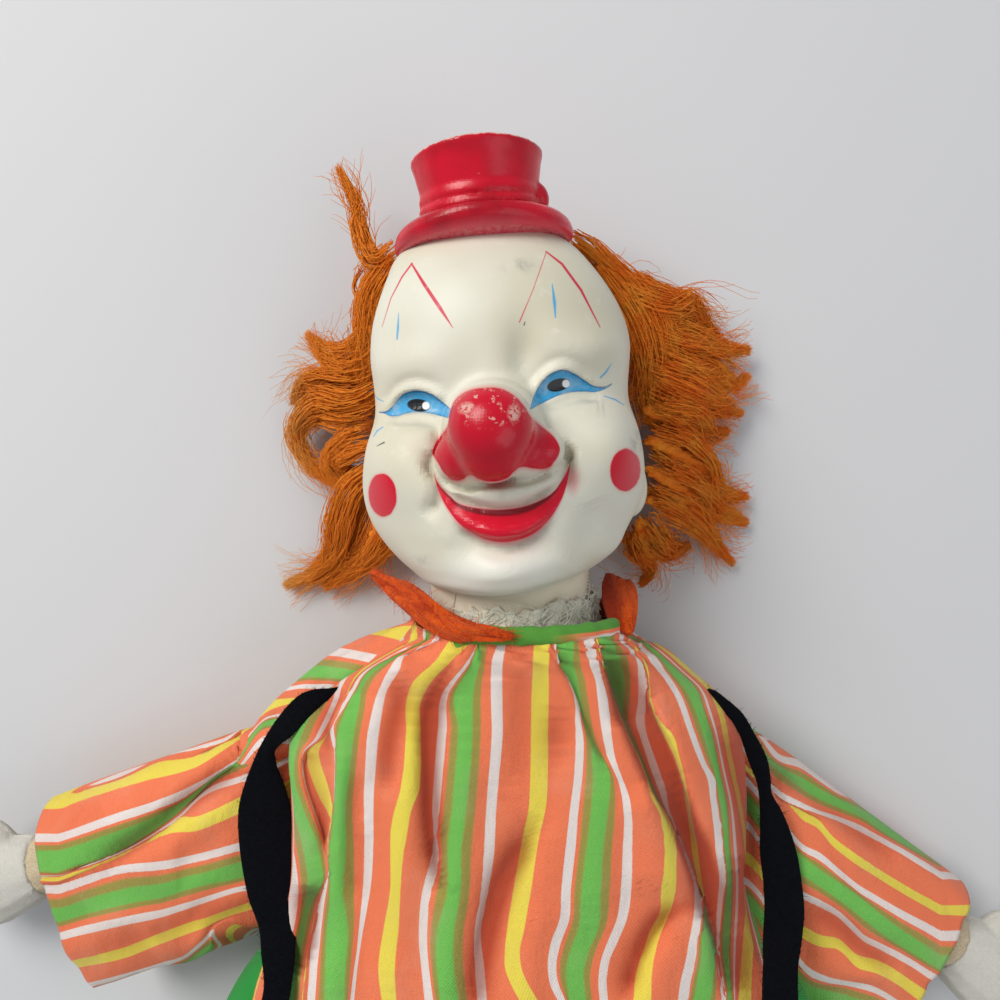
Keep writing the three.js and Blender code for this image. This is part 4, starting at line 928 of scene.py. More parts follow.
# Striped cotton. Each line is a stripe's edge: millimetres across the cloth, then y, x, y, x of its pixels.
stripes = {
    "repeat": 36.0,
    # each colour ends so far from the middle of the green stripe
    "bands": [
        (2.3, "green"), (4.3, "olive"), (6.9, "orange"), (9.5, "white"), (16.4, "orange"), (21.0, "yellow"),
        (28.2, "orange"), (30.8, "white"), (31.9, "orange"), (33.7, "olive"), (36.0, "green"),
    ],
    "green": srgb(112, 194, 84), "olive": srgb(158, 150, 70), "orange": srgb(243, 126, 84),
    "white": srgb(236, 227, 222), "yellow": srgb(238, 220, 82),
    "soft": 0.15, "oliveSoft": 0.42,
    "thread": (4.2, 1.3, 1), "crossThread": (1.3, 4.2, 1), "twill": math.tau / 0.8,
}
bodyLines = [
    (-95, 640, 352, 700, 285, 740, 250, 800, 240, 880, 240, 1000, 238),
    (-76, 640, 372, 700, 312, 740, 284, 760, 282, 780, 284, 810, 290, 840, 297, 880, 303, 1000, 280),
    (-69.7, 640, 382, 680, 340, 700, 324, 720, 309, 740, 301, 760, 296, 780, 296, 810, 305, 840, 317, 860, 322,
     880, 324, 900, 314, 940, 304, 1000, 294),
    (-67, 640, 398, 675, 338, 700, 330, 730, 316, 740, 312, 750, 304, 760, 301, 780, 302, 810, 311, 840, 322,
     870, 328, 900, 319, 940, 309, 1000, 301),
    (-60, 640, 408, 675, 354, 700, 344, 730, 330, 740, 322, 750, 306, 760, 303, 780, 305, 810, 314, 840, 324,
     870, 329, 900, 320, 940, 310, 1000, 302),
    (-55.6, 640, 412, 675, 358, 700, 345, 730, 331, 740, 322.5, 750, 308, 760, 308, 780, 313, 800, 322, 815,
     331, 840, 328.5, 870, 329.5, 900, 320.5, 940, 311, 1000, 303),
    (-51, 640, 418, 675, 360, 700, 345.5, 730, 331.5, 740, 325, 750, 320, 760, 321, 780, 328, 800, 333, 815,
     333, 840, 329, 870, 330, 900, 320.8, 940, 311.5, 1000, 304),
    (-43.8, 640, 424, 675, 362, 690, 352, 700, 346.5, 710, 340, 722, 332, 745, 334, 752, 336, 760, 336, 810,
     334, 840, 329.3, 870, 330.2, 890, 323, 900, 321, 920, 318, 940, 313, 960, 310.5, 1000, 308),
    (-41.2, 640, 426, 675, 365, 690, 356, 700, 350, 710, 344, 722, 336, 745, 337, 752, 336.5, 760, 336.5,
     810, 334.5, 840, 329.6, 870, 330.5, 890, 328, 900, 326, 920, 323.5, 940, 321.5, 1000, 316),
    (-38.3, 640, 427, 675, 367, 690, 358, 700, 351, 710, 346, 730, 339, 770, 337, 810, 335, 850, 330.5, 890,
     331, 930, 327, 1000, 325),
    (-33.7, 640, 428, 675, 372, 690, 362, 700, 361, 710, 359, 730, 355, 770, 349.5, 810, 345, 850, 345, 890,
     342, 930, 348, 970, 346, 1000, 345),
    (-32.3, 640, 430, 675, 376, 690, 366, 710, 363, 730, 359, 770, 353, 810, 349, 850, 351, 890, 352, 930, 352,
     970, 349, 1000, 347),
    (-29.1, 640, 437, 660, 398, 670, 390, 690, 380, 710, 372.5, 730, 368, 770, 365, 810, 365, 850, 365, 890,
     363.7, 910, 361, 930, 359, 950, 357, 970, 353.7, 1000, 350),
    (-26.5, 640, 439, 655, 406, 670, 400, 690, 387.5, 710, 382.5, 730, 379, 770, 375, 810, 374, 850, 374, 890,
     371, 910, 367, 930, 363, 950, 360, 970, 357, 1000, 353),
    (-19.6, 640, 450, 660, 437.5, 680, 415, 700, 407.5, 730, 407, 770, 404, 790, 401, 810, 395, 830, 391, 850,
     391, 890, 391, 930, 384, 970, 379, 1000, 382.5),
    (-15, 640, 477.5, 660, 452.5, 680, 432.5, 700, 421, 730, 420, 770, 420, 790, 418.7, 810, 411, 830, 407.5,
     850, 404, 890, 400.5, 930, 398.7, 970, 395, 1000, 396),
    (-7.8, 640, 479, 660, 468, 680, 452, 690, 445, 730, 438.7, 770, 435, 810, 432.5, 840, 434, 850, 432.5,
     870, 427.5, 890, 422.5, 930, 418.7, 970, 422, 1000, 425),
    (-5.2, 640, 479.5, 660, 471, 680, 457, 690, 451, 730, 447.5, 770, 443.7, 810, 440, 840, 437.5, 850, 440,
     870, 437.5, 890, 431, 930, 427.5, 970, 430, 1000, 434),
    (-2.3, 640, 480, 660, 474, 680, 462, 690, 456, 730, 459, 770, 456, 810, 452.5, 850, 448.5, 890, 449, 930,
     437.5, 970, 437, 1000, 440),
    (2.3, 640, 481, 660, 480, 690, 474, 730, 472.5, 770, 470, 810, 466, 850, 461, 890, 460, 930, 454, 970,
     453.7, 1000, 457.5),
    (6.9, 640, 499, 660, 492, 690, 491, 730, 492, 770, 489, 810, 486, 850, 484, 890, 481, 930, 474.5, 970, 475,
     1000, 477.5),
    (9.5, 640, 506, 660, 503, 690, 502, 730, 502.5, 770, 499, 810, 496, 850, 494, 890, 487.5, 930, 480, 970,
     485.5, 1000, 487),
    (16.4, 640, 534, 690, 532, 730, 531, 790, 530, 810, 529, 830, 524, 850, 520.5, 890, 514, 930, 507.5, 950,
     505.5, 970, 506, 985, 512, 1000, 520),
    (21, 640, 549, 690, 549, 730, 547.5, 770, 547.5, 810, 545.5, 830, 541, 850, 537.5, 890, 531, 930, 524, 950,
     520, 970, 522.5, 985, 529, 1000, 537.5),
    (28.2, 640, 554, 660, 557, 680, 567, 700, 574.5, 720, 576, 740, 576, 770, 574.5, 810, 570, 850, 565, 890,
     561, 920, 559, 940, 551, 970, 547.5, 985, 550, 1000, 557.5),
    (30.8, 640, 554.4, 660, 557.5, 680, 567.5, 700, 576.2, 720, 580, 740, 584, 770, 582.5, 810, 578, 850, 575,
     890, 570.5, 920, 568.7, 940, 561, 970, 556, 985, 559, 1000, 566),
    (33.7, 640, 555, 660, 558, 680, 568, 700, 577, 720, 583, 740, 589, 750, 591, 770, 592.5, 810, 591, 850, 586,
     890, 581, 930, 577.5, 950, 570, 970, 565.5, 1000, 568.7),
    (38.3, 640, 574, 660, 572.5, 680, 577.5, 700, 581, 720, 585, 740, 590.5, 750, 596, 760, 603, 770, 608.7,
     790, 610, 810, 607.5, 850, 602.5, 890, 600, 930, 597.5, 950, 588.7, 970, 583.7, 1000, 586),
    (42.9, 640, 582.5, 660, 587.5, 680, 595, 700, 597.5, 720, 600, 740, 603.7, 760, 608.7, 780, 617.5, 800,
     622.5, 820, 624, 850, 622.5, 890, 620, 920, 616, 940, 607.5, 960, 600.5, 980, 598, 1000, 599.5),
    (45.5, 640, 593.7, 660, 597.5, 680, 602, 700, 607, 720, 610, 740, 612.5, 760, 616, 780, 622.5, 800, 630,
     820, 632, 850, 632, 890, 630.5, 920, 626, 940, 617.5, 960, 608.7, 980, 606, 1000, 607.5),
    (52.4, 640, 596, 660, 600.5, 680, 606.5, 700, 612.5, 720, 620.5, 740, 628.6, 760, 638.5, 780, 645.6, 800,
     652,
     810, 657.5, 830, 662.5, 870, 663.7, 890, 661, 910, 660, 930, 650, 950, 643.7, 970, 637.5, 1000, 633.7),
    (57, 640, 596.4, 660, 600.9, 680, 607, 700, 613, 720, 621, 740, 629, 760, 639, 780, 646, 800, 655, 810,
     662.5, 830, 672.5, 870, 675.5, 890, 675, 910, 670, 930, 662.5, 950, 656, 970, 652.5, 1000, 651),
    (64.2, 640, 596.6, 660, 601.2, 700, 613.3, 740, 629.3, 780, 646.4, 800, 656, 820, 668, 840, 678, 860, 685,
     880, 692, 900, 693.7, 920, 692.5, 940, 688.7, 960, 685, 980, 680, 1000, 677),
    (66.8, 640, 596.8, 660, 601.4, 700, 613.6, 740, 629.5, 780, 646.8, 800, 656.4, 820, 668.5, 840, 678.5,
     860, 685.5, 880, 693, 890, 697.5, 900, 700, 920, 701, 940, 697.5, 960, 695, 980, 691, 1000, 687.5),
    (69.7, 640, 597, 660, 601.6, 680, 607.6, 700, 613.8, 720, 621.5, 740, 629.6, 760, 639.6, 800, 656.6, 820,
     669, 860, 686, 880, 693.6, 900, 700.6, 920, 703, 940, 701, 960, 700, 980, 696, 1000, 692.5),
    (74.3, 640, 610, 660, 620, 680, 625, 700, 624, 710, 622.5, 720, 622, 740, 630, 760, 640, 800, 657, 820,
     669.5, 860, 686.5, 880, 694.3, 900, 702, 920, 706, 940, 712.5, 960, 713.7, 980, 712.5, 1000, 710),
    (78.9, 640, 618, 662, 636, 675, 637.5, 700, 638, 725, 636, 737, 640, 750, 644, 765, 649, 775, 652.5, 790,
     657.5, 805, 662.5, 820, 670, 860, 687.2, 880, 695, 900, 703, 940, 714, 960, 716, 1000, 721),
    (81.5, 640, 624, 662, 640, 675, 645, 700, 646, 725, 645, 737, 647.5, 750, 652, 765, 657.5, 775, 661, 790,
     665, 805, 667, 830, 675.5, 860, 688, 880, 695.6, 900, 703.6, 940, 714.6, 960, 716.5, 1000, 723.5),
    (88.4, 640, 627, 662, 643, 700, 650, 720, 657.5, 735, 665, 755, 675, 775, 682, 800, 687, 825, 690, 860,
     692.5, 880, 697, 900, 704, 940, 715, 1000, 724),
    (93, 640, 628, 662, 644, 700, 651.5, 720, 660, 735, 672.5, 755, 679, 775, 684, 800, 689.5, 825, 694, 840,
     697, 860, 699, 880, 701, 900, 705, 920, 709, 940, 715.3, 1000, 724.5),
    (100.2, 640, 630, 652, 640, 675, 660, 700, 676, 725, 685, 750, 693.7, 765, 700, 775, 705, 800, 709.5,
     825, 712.5, 850, 715, 875, 718.7, 900, 717.5, 925, 716, 950, 717, 1000, 726),
    (102.8, 640, 635, 652, 649, 675, 667.5, 700, 682.5, 725, 691, 750, 700, 765, 706, 775, 712.5, 800, 716,
     825, 720, 850, 722.5, 875, 725, 900, 722.5, 925, 720, 950, 719, 1000, 727),
    (105.7, 640, 637, 652, 651, 670, 667, 690, 684, 710, 694, 735, 702.5, 760, 710, 775, 714, 800, 718.5, 850,
     724, 875, 726.5, 900, 725, 950, 722, 1000, 728.5),
    (110.3, 640, 640, 652, 656, 670, 676, 690, 696, 710, 702.5, 735, 711, 760, 716, 775, 719, 800, 724.5,
     850, 727.5, 875, 730, 900, 730, 950, 728, 1000, 731),
    (124.4, 640, 646, 652, 664, 670, 684, 690, 706, 710, 716, 735, 722, 760, 727, 800, 736, 860, 744, 875, 744,
     900, 744, 925, 743, 950, 741, 975, 739, 1000, 737.5),
    (129, 640, 650, 655, 672, 690, 712, 710, 721, 750, 729, 800, 739, 860, 748, 875, 750, 900, 752.5, 925,
     752.5, 950, 752, 975, 751, 1000, 750),
    (140, 640, 665, 700, 735, 750, 760, 800, 770, 900, 785, 1000, 788),
]
# Folds of the shirt's front: pixels, width and height in millimetres
shirtFolds = [
    ([(352, 700), (340, 770), (340, 860), (338, 960), (334, 1060)], 3.2, 2.6),
    ([(398, 668), (400, 700), (392, 740), (386, 800)], 2.6, -1.6),
    ([(420, 690), (414, 760), (404, 840), (396, 920), (392, 1040)], 3.4, 1.7),
    ([(452, 662), (432, 710), (428, 770), (432, 820), (440, 862), (448, 900)], 2.6, -2.8),
    ([(470, 690), (466, 780), (458, 860), (450, 950), (448, 1060)], 3.4, 1.9),
    ([(500, 660), (497, 740), (494, 800)], 3.2, 1.0), ([(516, 660), (516, 740), (512, 790)], 2.8, -0.7),
    ([(540, 812), (520, 850), (500, 885), (487, 925), (478, 965), (470, 1030)], 3.0, -2.4),
    ([(545, 900), (530, 950), (528, 1000), (540, 1060)], 3.6, 1.8),
    ([(562, 740), (560, 810), (548, 880), (538, 940)], 4.2, 1.2),
    ([(556, 700), (553, 780), (548, 840)], 2.8, -0.9),
    ([(598, 760), (600, 820), (596, 880), (592, 930)], 4.2, 2.0),
    ([(640, 780), (652, 830), (656, 870), (652, 900)], 5.4, 3.0),
    ([(690, 893), (676, 907), (660, 923), (646, 942), (634, 968), (626, 1005)], 2.6, -2.2),
    ([(690, 925), (668, 950), (656, 990), (652, 1050)], 4.2, 2.0), ([(705, 1000), (700, 1060)], 4.0, 1.0),
    ([(362, 775), (354, 815), (352, 870), (356, 910)], 2.4, -1.6),
    ([(372, 690), (366, 760), (368, 840)], 2.8, 0.9), ([(600, 660), (616, 690), (622, 730)], 2.4, -2.0),
    ([(655, 690), (690, 760), (712, 830), (722, 900), (728, 980)], 4.0, 2.0),
    ([(668, 770), (684, 830), (700, 880), (712, 940)], 3.4, -3.0),
    ([(735, 850), (740, 930), (742, 1010)], 3.2, -1.4), ([(318, 945), (320, 1000), (318, 1060)], 3.2, 1.8),
    ([(304, 880), (308, 930), (300, 980)], 2.4, -2.0),
    ([(292, 745), (294, 800), (306, 850), (322, 890)], 3.0, 1.6),
]
# Deep places that little light reaches: pixels, width in millimetres, darkness
shirtShades = [
    ([(598, 664), (612, 690), (632, 738), (650, 780), (668, 815), (690, 860), (706, 910), (718, 965)], 4.4,
     1.35),
    ([(622, 680), (648, 740), (668, 790), (690, 840), (706, 880)], 6.0, 0.4),
    ([(716, 700), (728, 750), (738, 800), (746, 860), (750, 930)], 4.0, 0.95),
    ([(560, 680), (572, 712), (586, 742)], 1.6, 0.5), ([(664, 905), (648, 930), (636, 960)], 1.8, 0.35),
    ([(430, 690), (424, 740), (424, 800), (434, 860)], 2.2, 0.4),
    ([(352, 720), (348, 760), (344, 810)], 2.6, 0.45), ([(310, 880), (306, 930), (300, 980)], 2.2, 0.6),
]
# Edges where one fold lies over the next: the cloth is high on one side and low on the other
shirtOverlaps = [
    ([(590, 645), (601, 662), (613, 700), (629, 740), (646, 780), (657, 803), (669, 824), (685, 860),
      (695, 888), (703, 912), (711, 950), (718, 1000)], 0.8, 8.0, 2.6),
    ([(352, 690), (341, 708), (334, 724), (337, 760), (334, 812), (329.5, 850), (330, 880), (323, 906),
      (319, 930)], 0.7, 4.5, -1.9),
    ([(555, 646), (559, 668), (570, 685), (577, 706), (585, 728), (595, 752), (607, 768)], 0.6, 3.2, 1.1),
    ([(644, 690), (658, 720), (676, 756), (688, 800), (698, 850)], 0.7, 4.5, -1.3),
    ([(312, 742), (303, 760), (305, 785), (315, 815), (326, 852)], 0.8, 4.2, 1.5),
    ([(436, 836), (441, 862), (449, 895)], 0.6, 3.0, -1.1),
]
shirt = {
    "stations": [  # y, half width, front, back, middle height
        (63.8, 30.8, 30.6, 31.6, 34), (61.8, 33.0, 32.4, 32.8, 34), (58.4, 36.2, 33.2, 33.2, 33.6),
        (54, 43.5, 33.2, 32.4, 32.3), (50, 49.5, 33.0, 31.8, 31.6), (45, 56.5, 32.6, 31.6, 31.4),
        (38, 64.0, 32.4, 31.5, 31.25), (28, 68.6, 32.0, 31.5, 31.25), (16, 70, 31.6, 31.5, 31.25),
        (0, 70, 31.4, 31.5, 31.25), (-18, 70.5, 31.6, 31.6, 31.6), (-34, 75, 29.6, 33.6, 35.2),
        (-46, 80, 21.6, 40.0, 42.2), (-56, 82.8, 17.2, 42.4, 45.4), (-66.5, 83.4, 15.0, 42.6, 45.6),
    ],
    "around": 340, "along": 150, "fullness": 2.35, "thickness": 0.7,
    "backHem": -42, "backBelow": 33, "backReach": 22,
    "gathers": [(34, 0, 0.34, 0.4), (57, 0, 0.1, 1.9)], "gatherAt": 7, "gatherReach": 8,
    "backFolds": [(9, 1, 0.35, 0.2), (17, -1, 0.22, 2.2)],
    "foldHeight": 1.4, "foldsFrom": 16,
}
hiddenStripe = 1.7  # stripe edges closer than this many pixels are hidden in a fold


def across(pixels, lines, flip=False):  # millimetres across the cloth at each place of the view
    along = pixels[:, 0] if flip else pixels[:, 1]
    over = pixels[:, 1] if flip else pixels[:, 0]
    edges = []
    for reach, *run in lines:
        at, px = run[::2], run[1::2]
        edges.append(smoothLine(at, px, np.clip(along, at[0], at[-1])))
    edges = np.maximum.accumulate(np.array(edges) + np.arange(len(lines))[:, None] * 1e-4, axis=0)
    reach = np.array([line[0] for line in lines], float)
    place = np.clip((edges < over[None, :]).sum(axis=0), 1, len(lines) - 1)
    pick = np.arange(len(over))
    low, high = edges[place - 1, pick], edges[place, pick]
    share = (over - low) / np.maximum(high - low, 1e-6)
    value = reach[place - 1] + np.clip(share, -3, 4) * (reach[place] - reach[place - 1])
    # the edges hidden in one fold are one jump, in its middle
    index = np.arange(len(lines) - 1)[:, None]
    wide = np.diff(edges, axis=0) > hiddenStripe
    wide[0] = wide[-1] = True
    before = np.maximum.accumulate(np.where(wide, index, 0), axis=0)[place - 1, pick]
    after = np.minimum.accumulate(np.where(wide, index, len(lines) - 2)[::-1], axis=0)[::-1][place - 1, pick]
    nearStart = over - edges[before + 1, pick] < edges[after, pick] - over
    return np.where(wide[place - 1, pick], value, np.where(nearStart, reach[before + 1], reach[after]))


def ringGrid(stations, around, along, fullness, turnFrom=-0.25):  # tube along Y through its stations
    columns = [np.array(c, float) for c in zip(*stations)]
    lengths = np.concatenate([[0], np.cumsum(np.hypot(np.diff(columns[0]), np.diff(columns[1]) * 0.7))])
    at = np.linspace(0, lengths[-1], along + 1)
    y, side, front, back, middle = (smoothLine(lengths, c, at) for c in columns[:5])
    shift = smoothLine(lengths, columns[5], at) if len(columns) > 5 else np.zeros(along + 1)
    angle = (np.linspace(0, 1, around + 1) + turnFrom) * math.tau
    c, s = np.cos(angle), np.sin(angle)
    bow = 2 / fullness
    x = np.sign(c) * np.abs(c) ** bow
    z = np.sign(s) * np.abs(s) ** bow
    deep = np.where(z[None, :] > 0, front[:, None], back[:, None])
    places = np.stack([
        shift[:, None] + side[:, None] * x[None, :],
        repeatAcross(y, around + 1),
        middle[:, None] + deep * z[None, :],
    ], axis=2)
    return evenAround(places), at


def evenAround(places):  # the same spacing between the points of each ring
    out = np.empty_like(places)
    for row, ring in enumerate(places):
        reach = lengthAlong(ring)
        out[row] = readAt(np.linspace(0, reach[-1], len(ring)), reach, ring)
    return out


# The front's columns follow the stripes, so that a fold's edge cuts none across
def alongStripes(places, normals, lines, flip=False):
    first, last = places.shape[1] // 4, places.shape[1] - 1 - places.shape[1] // 4
    spot = np.linspace(0, last - first, 1600)
    both = np.concatenate([places, normals], axis=2)[:, first:last + 1]

    def pick(row, at):
        low = np.minimum(at.astype(int), last - first - 1)
        share = (at - low)[:, None]
        return both[row, low] * (1 - share) + both[row, low + 1] * share

    seen = np.empty(places.shape[:2])
    fine = np.stack([pick(row, spot) for row in range(len(places))])
    value = across(pixelsOf(fine[:, :, :3].reshape(-1, 3) * mm), lines, flip).reshape(len(places), -1)
    for row, reach in enumerate(value):
        rising = 1 if reach[-1] > reach[0] else -1
        target = np.linspace(reach[0], reach[-1], last - first + 1)
        found = np.interp(target[::rising], np.maximum.accumulate(reach[::rising]), spot[::rising])[::rising]
        moved = pick(row, found)
        places[row, first:last + 1], normals[row, first:last + 1] = moved[:, :3], moved[:, 3:]
        seen[row, first:last + 1] = target
    return seen


def girthOf(places):  # the length round the cloth from its first column
    steps = np.linalg.norm(np.diff(places, axis=1), axis=2)
    return np.concatenate([np.zeros((len(places), 1)), np.cumsum(steps, axis=1)], axis=1)


def aroundLay(places, seen):  # the front's stripes, carried on round the back
    reach = girthOf(places)
    first, last = places.shape[1] // 4, places.shape[1] - 1 - places.shape[1] // 4
    lay = seen.copy()
    lay[:, :first] = seen[:, first, None] + reach[:, first, None] - reach[:, :first]
    lay[:, last + 1:] = seen[:, last, None] - reach[:, last + 1:] + reach[:, last, None]
    return lay


def foldGrid(places, normals, strokes, steps):
    move, dirtAndShade = pushes(places.reshape(-1, 3) * mm, [], strokes, steps)
    facing = np.clip((normals[:, :, 2] - 0.1) / 0.4, 0, 1)
    return move.reshape(facing.shape) * facing


# The direction from each place to the camera: a fold raised along it keeps its stripes in the view
def towardsView(places):
    ray = np.array([view["x"], view["y"], view["height"]]) - places
    return ray / np.linalg.norm(ray, axis=2, keepdims=True)


def sumOfWaves(turn, length, waves):  # soft pleats: (count around, lean, height, phase)
    total = 0
    for count, lean, height, phase in waves:
        total = total + height * np.cos(count * turn * math.tau + lean * length + phase)
    return total


def shirtMesh():
    places, at = ringGrid(shirt["stations"], shirt["around"], shirt["along"], shirt["fullness"])
    # the back's hem is shorter
    under = np.clip((shirt["backBelow"] - places[:, :, 2]) / shirt["backReach"], 0, 1) ** 0.7
    places[:, :, 1] += under * np.maximum(shirt["backHem"] - places[:, :, 1], 0)
    normals = gridNormals(places, (10, shirt["around"] // 2))
    seen = alongStripes(places, normals, bodyLines)
    lay = np.stack([aroundLay(places, seen), repeatAcross(at, shirt["around"] + 1)], axis=2)
    turn = np.linspace(0, 1, shirt["around"] + 1)[None, :]
    length = at[:, None]
    gather = np.exp(-((length - shirt["gatherAt"]) / shirt["gatherReach"]) ** 2)
    pleats = sumOfWaves(turn, 0, shirt["gathers"]) * gather
    folds = foldGrid(places, normals, shirtFolds, shirtOverlaps) * shirt["foldHeight"]
    backFolds = sumOfWaves(turn, length * 0.03, shirt["backFolds"]) * np.clip(-normals[:, :, 2], 0, 1)
    spread = np.clip(length / shirt["foldsFrom"], 0, 1)
    places = places + towardsView(places) * (folds * spread)[:, :, None]
    places = places + normals * (pleats + backFolds * spread)[:, :, None]
    places[:, :, 2] = np.maximum(places[:, :, 2], 0.5)
    # painted shade: darker in the fold valleys and along shirtShades
    valley = np.clip(0.08 - (folds + pleats * 1.6) / 2.6 + foldGrid(places, normals, shirtShades, []), 0, 1)
    return clothFrom("shirt_body", places, lay, shirt["thickness"], values=valley)


def stripedFinish(name):
    finish = Finish(name)
    cloth = finish.uv("cloth")
    s, t, _ = finish.split(cloth)
    place = finish.place()
    wander = (finish.noise(finish.scaled(cloth, (0.02, 0.05, 1)), 1, 2) - 0.5) * 0.5
    step = (s + wander + (finish.noise(cloth, 0.5, 2) - 0.5) * 0.1).repeat(stripes["repeat"])
    base = stripes["green"]
    for (edge, before), (following, color) in zip(stripes["bands"][:-1], stripes["bands"][1:]):
        soft = stripes["oliveSoft" if "olive" in (before, color) else "soft"]
        base = finish.mix(step.above(edge, soft), base, stripes[color])
    weave = finish.noise(finish.scaled(cloth, stripes["thread"]), 1, 2, 0.7)
    weft = finish.noise(finish.scaled(cloth, stripes["crossThread"]), 1, 2, 0.7)
    cloud = finish.noise(place, 17, 3)
    hatch = ((s + t) * stripes["twill"]).sine() * 0.25 + ((s - t) * stripes["twill"]).sine() * 0.25 + 0.5
    base = finish.mix((weave - 0.5).ramp(0, 0.3) * 0.18, base, (0.9, 0.82, 0.74))
    base = finish.mix(hatch * 0.3, base, finish.mix(1, base, (0.66, 0.5, 0.46), "MULTIPLY"))
    gap = finish.mix(0.7, base, (0.3, 0.1, 0.06), "MULTIPLY")
    base = finish.mix((weft - 0.5).ramp(0, 0.3) * 0.5, base, gap)
    base = finish.mix(cloud.ramp(0.5, 0.8) * 0.14, base, (0.72, 0.55, 0.42))
    # painted shade: the cloth darkened where the painted fold shade attribute is high
    shade = finish.mix(1, base, (0.42, 0.16, 0.12), "MULTIPLY")
    base = finish.mix(finish.attribute("valley") * 0.82, base, shade)
    crease = finish.noise(finish.scaled(place, (1, 0.4, 1)), 6, 4, 0.6)
    finish.set(
        Base_Color=base,
        Roughness=0.82 + weave * 0.12,
        Normal=finish.bump((weave + weft + hatch) * 0.4, 0.22, finish.bump(crease, 0.9)),
        Sheen_Weight=0.12,
        Sheen_Roughness=0.5,
        Specular_IOR_Level=0.2,
    )
    return finish


cottonFinish = stripedFinish("striped_cotton_cloth")
shirtPiece = shirtMesh()
dress(shirtPiece, "torso", "striped_cotton", cottonFinish, "shirt_front", "shirt_back")
print("shirt points", len(shirtPiece.data.vertices))

# Sleeves: tubes that hang from the arm. Stripe edges: millimetres across the cloth, then x, y, x, y in pixels
rightSleeveLines = [
    (-66, 60, 790, 125, 771, 160, 757, 200, 748, 240, 733, 270, 711, 300, 672, 345, 640),
    (-62.5, 60, 794, 125, 776, 160, 760, 200, 751, 235, 737, 262, 720, 290, 690, 345, 648),
    (-55.6, 60, 796, 125, 778, 160, 763, 200, 753, 225, 741, 250, 728, 280, 706, 345, 655),
    (-51, 60, 808, 125, 786, 160, 777, 200, 766, 225, 750, 250, 731, 280, 712, 345, 662),
    (-43.8, 60, 834, 125, 811, 160, 799, 180, 791, 200, 781, 240, 758, 260, 745, 300, 715, 345, 670),
    (-41.2, 60, 842, 125, 820, 160, 808, 180, 800, 200, 787, 240, 761, 260, 747, 300, 718, 345, 675),
    (-38.3, 60, 850, 125, 828, 150, 818, 180, 803, 200, 789, 240, 762, 260, 749, 300, 722, 345, 680),
    (-33.7, 60, 872, 125, 848, 150, 833, 180, 812, 200, 792, 225, 772, 255, 760, 300, 735, 345, 690),
    (-29.1, 60, 874, 125, 850, 150, 836, 180, 815, 200, 793, 240, 776, 260, 768, 300, 745, 345, 700),
    (-26.5, 60, 876, 125, 852, 150, 838, 180, 818, 200, 799, 240, 783, 260, 776, 300, 755, 345, 715),
    (-19.6, 60, 878, 125, 853, 150, 840, 170, 820, 200, 816, 220, 807, 240, 797, 260, 790, 300, 775),
    (-15, 60, 880, 125, 855, 150, 842, 170, 833, 200, 829, 220, 821, 240, 813, 260, 806, 300, 795),
    (-7.8, 60, 884, 125, 864, 160, 860, 200, 853, 240, 842, 260, 836, 300, 830),
    (-5.2, 60, 893, 125, 872, 160, 868, 200, 861, 240, 850, 260, 845, 300, 840),
    (-2.3, 60, 908, 130, 888, 160, 883, 200, 874, 240, 862, 260, 858, 300, 855),
    (2.3, 60, 922, 130, 904, 160, 899, 200, 886, 240, 879, 260, 874, 300, 872),
    (6.9, 60, 932, 130, 914, 160, 910, 200, 898, 240, 886, 260, 882, 300, 880),
    (9.5, 60, 939, 130, 922, 160, 917, 200, 904, 240, 890, 260, 886, 300, 884),
    (16.4, 60, 962, 130, 945, 160, 932, 200, 918, 240, 904, 260, 898, 300, 894),
    (21, 60, 972, 130, 956, 160, 943, 200, 928, 240, 913, 260, 907, 300, 902),
    (28.2, 60, 988, 130, 972, 160, 964, 185, 954, 200, 941, 215, 929, 230, 926, 240, 936, 250, 944, 300, 920),
    (30.8, 60, 992, 130, 976, 160, 968, 185, 959, 200, 947, 215, 934, 230, 931, 240, 944, 250, 948, 300, 925),
    (38.3, 60, 1010, 130, 990, 160, 978, 185, 972, 200, 962, 215, 956, 240, 954, 300, 945),
    (74, 60, 1120, 300, 1080),
]
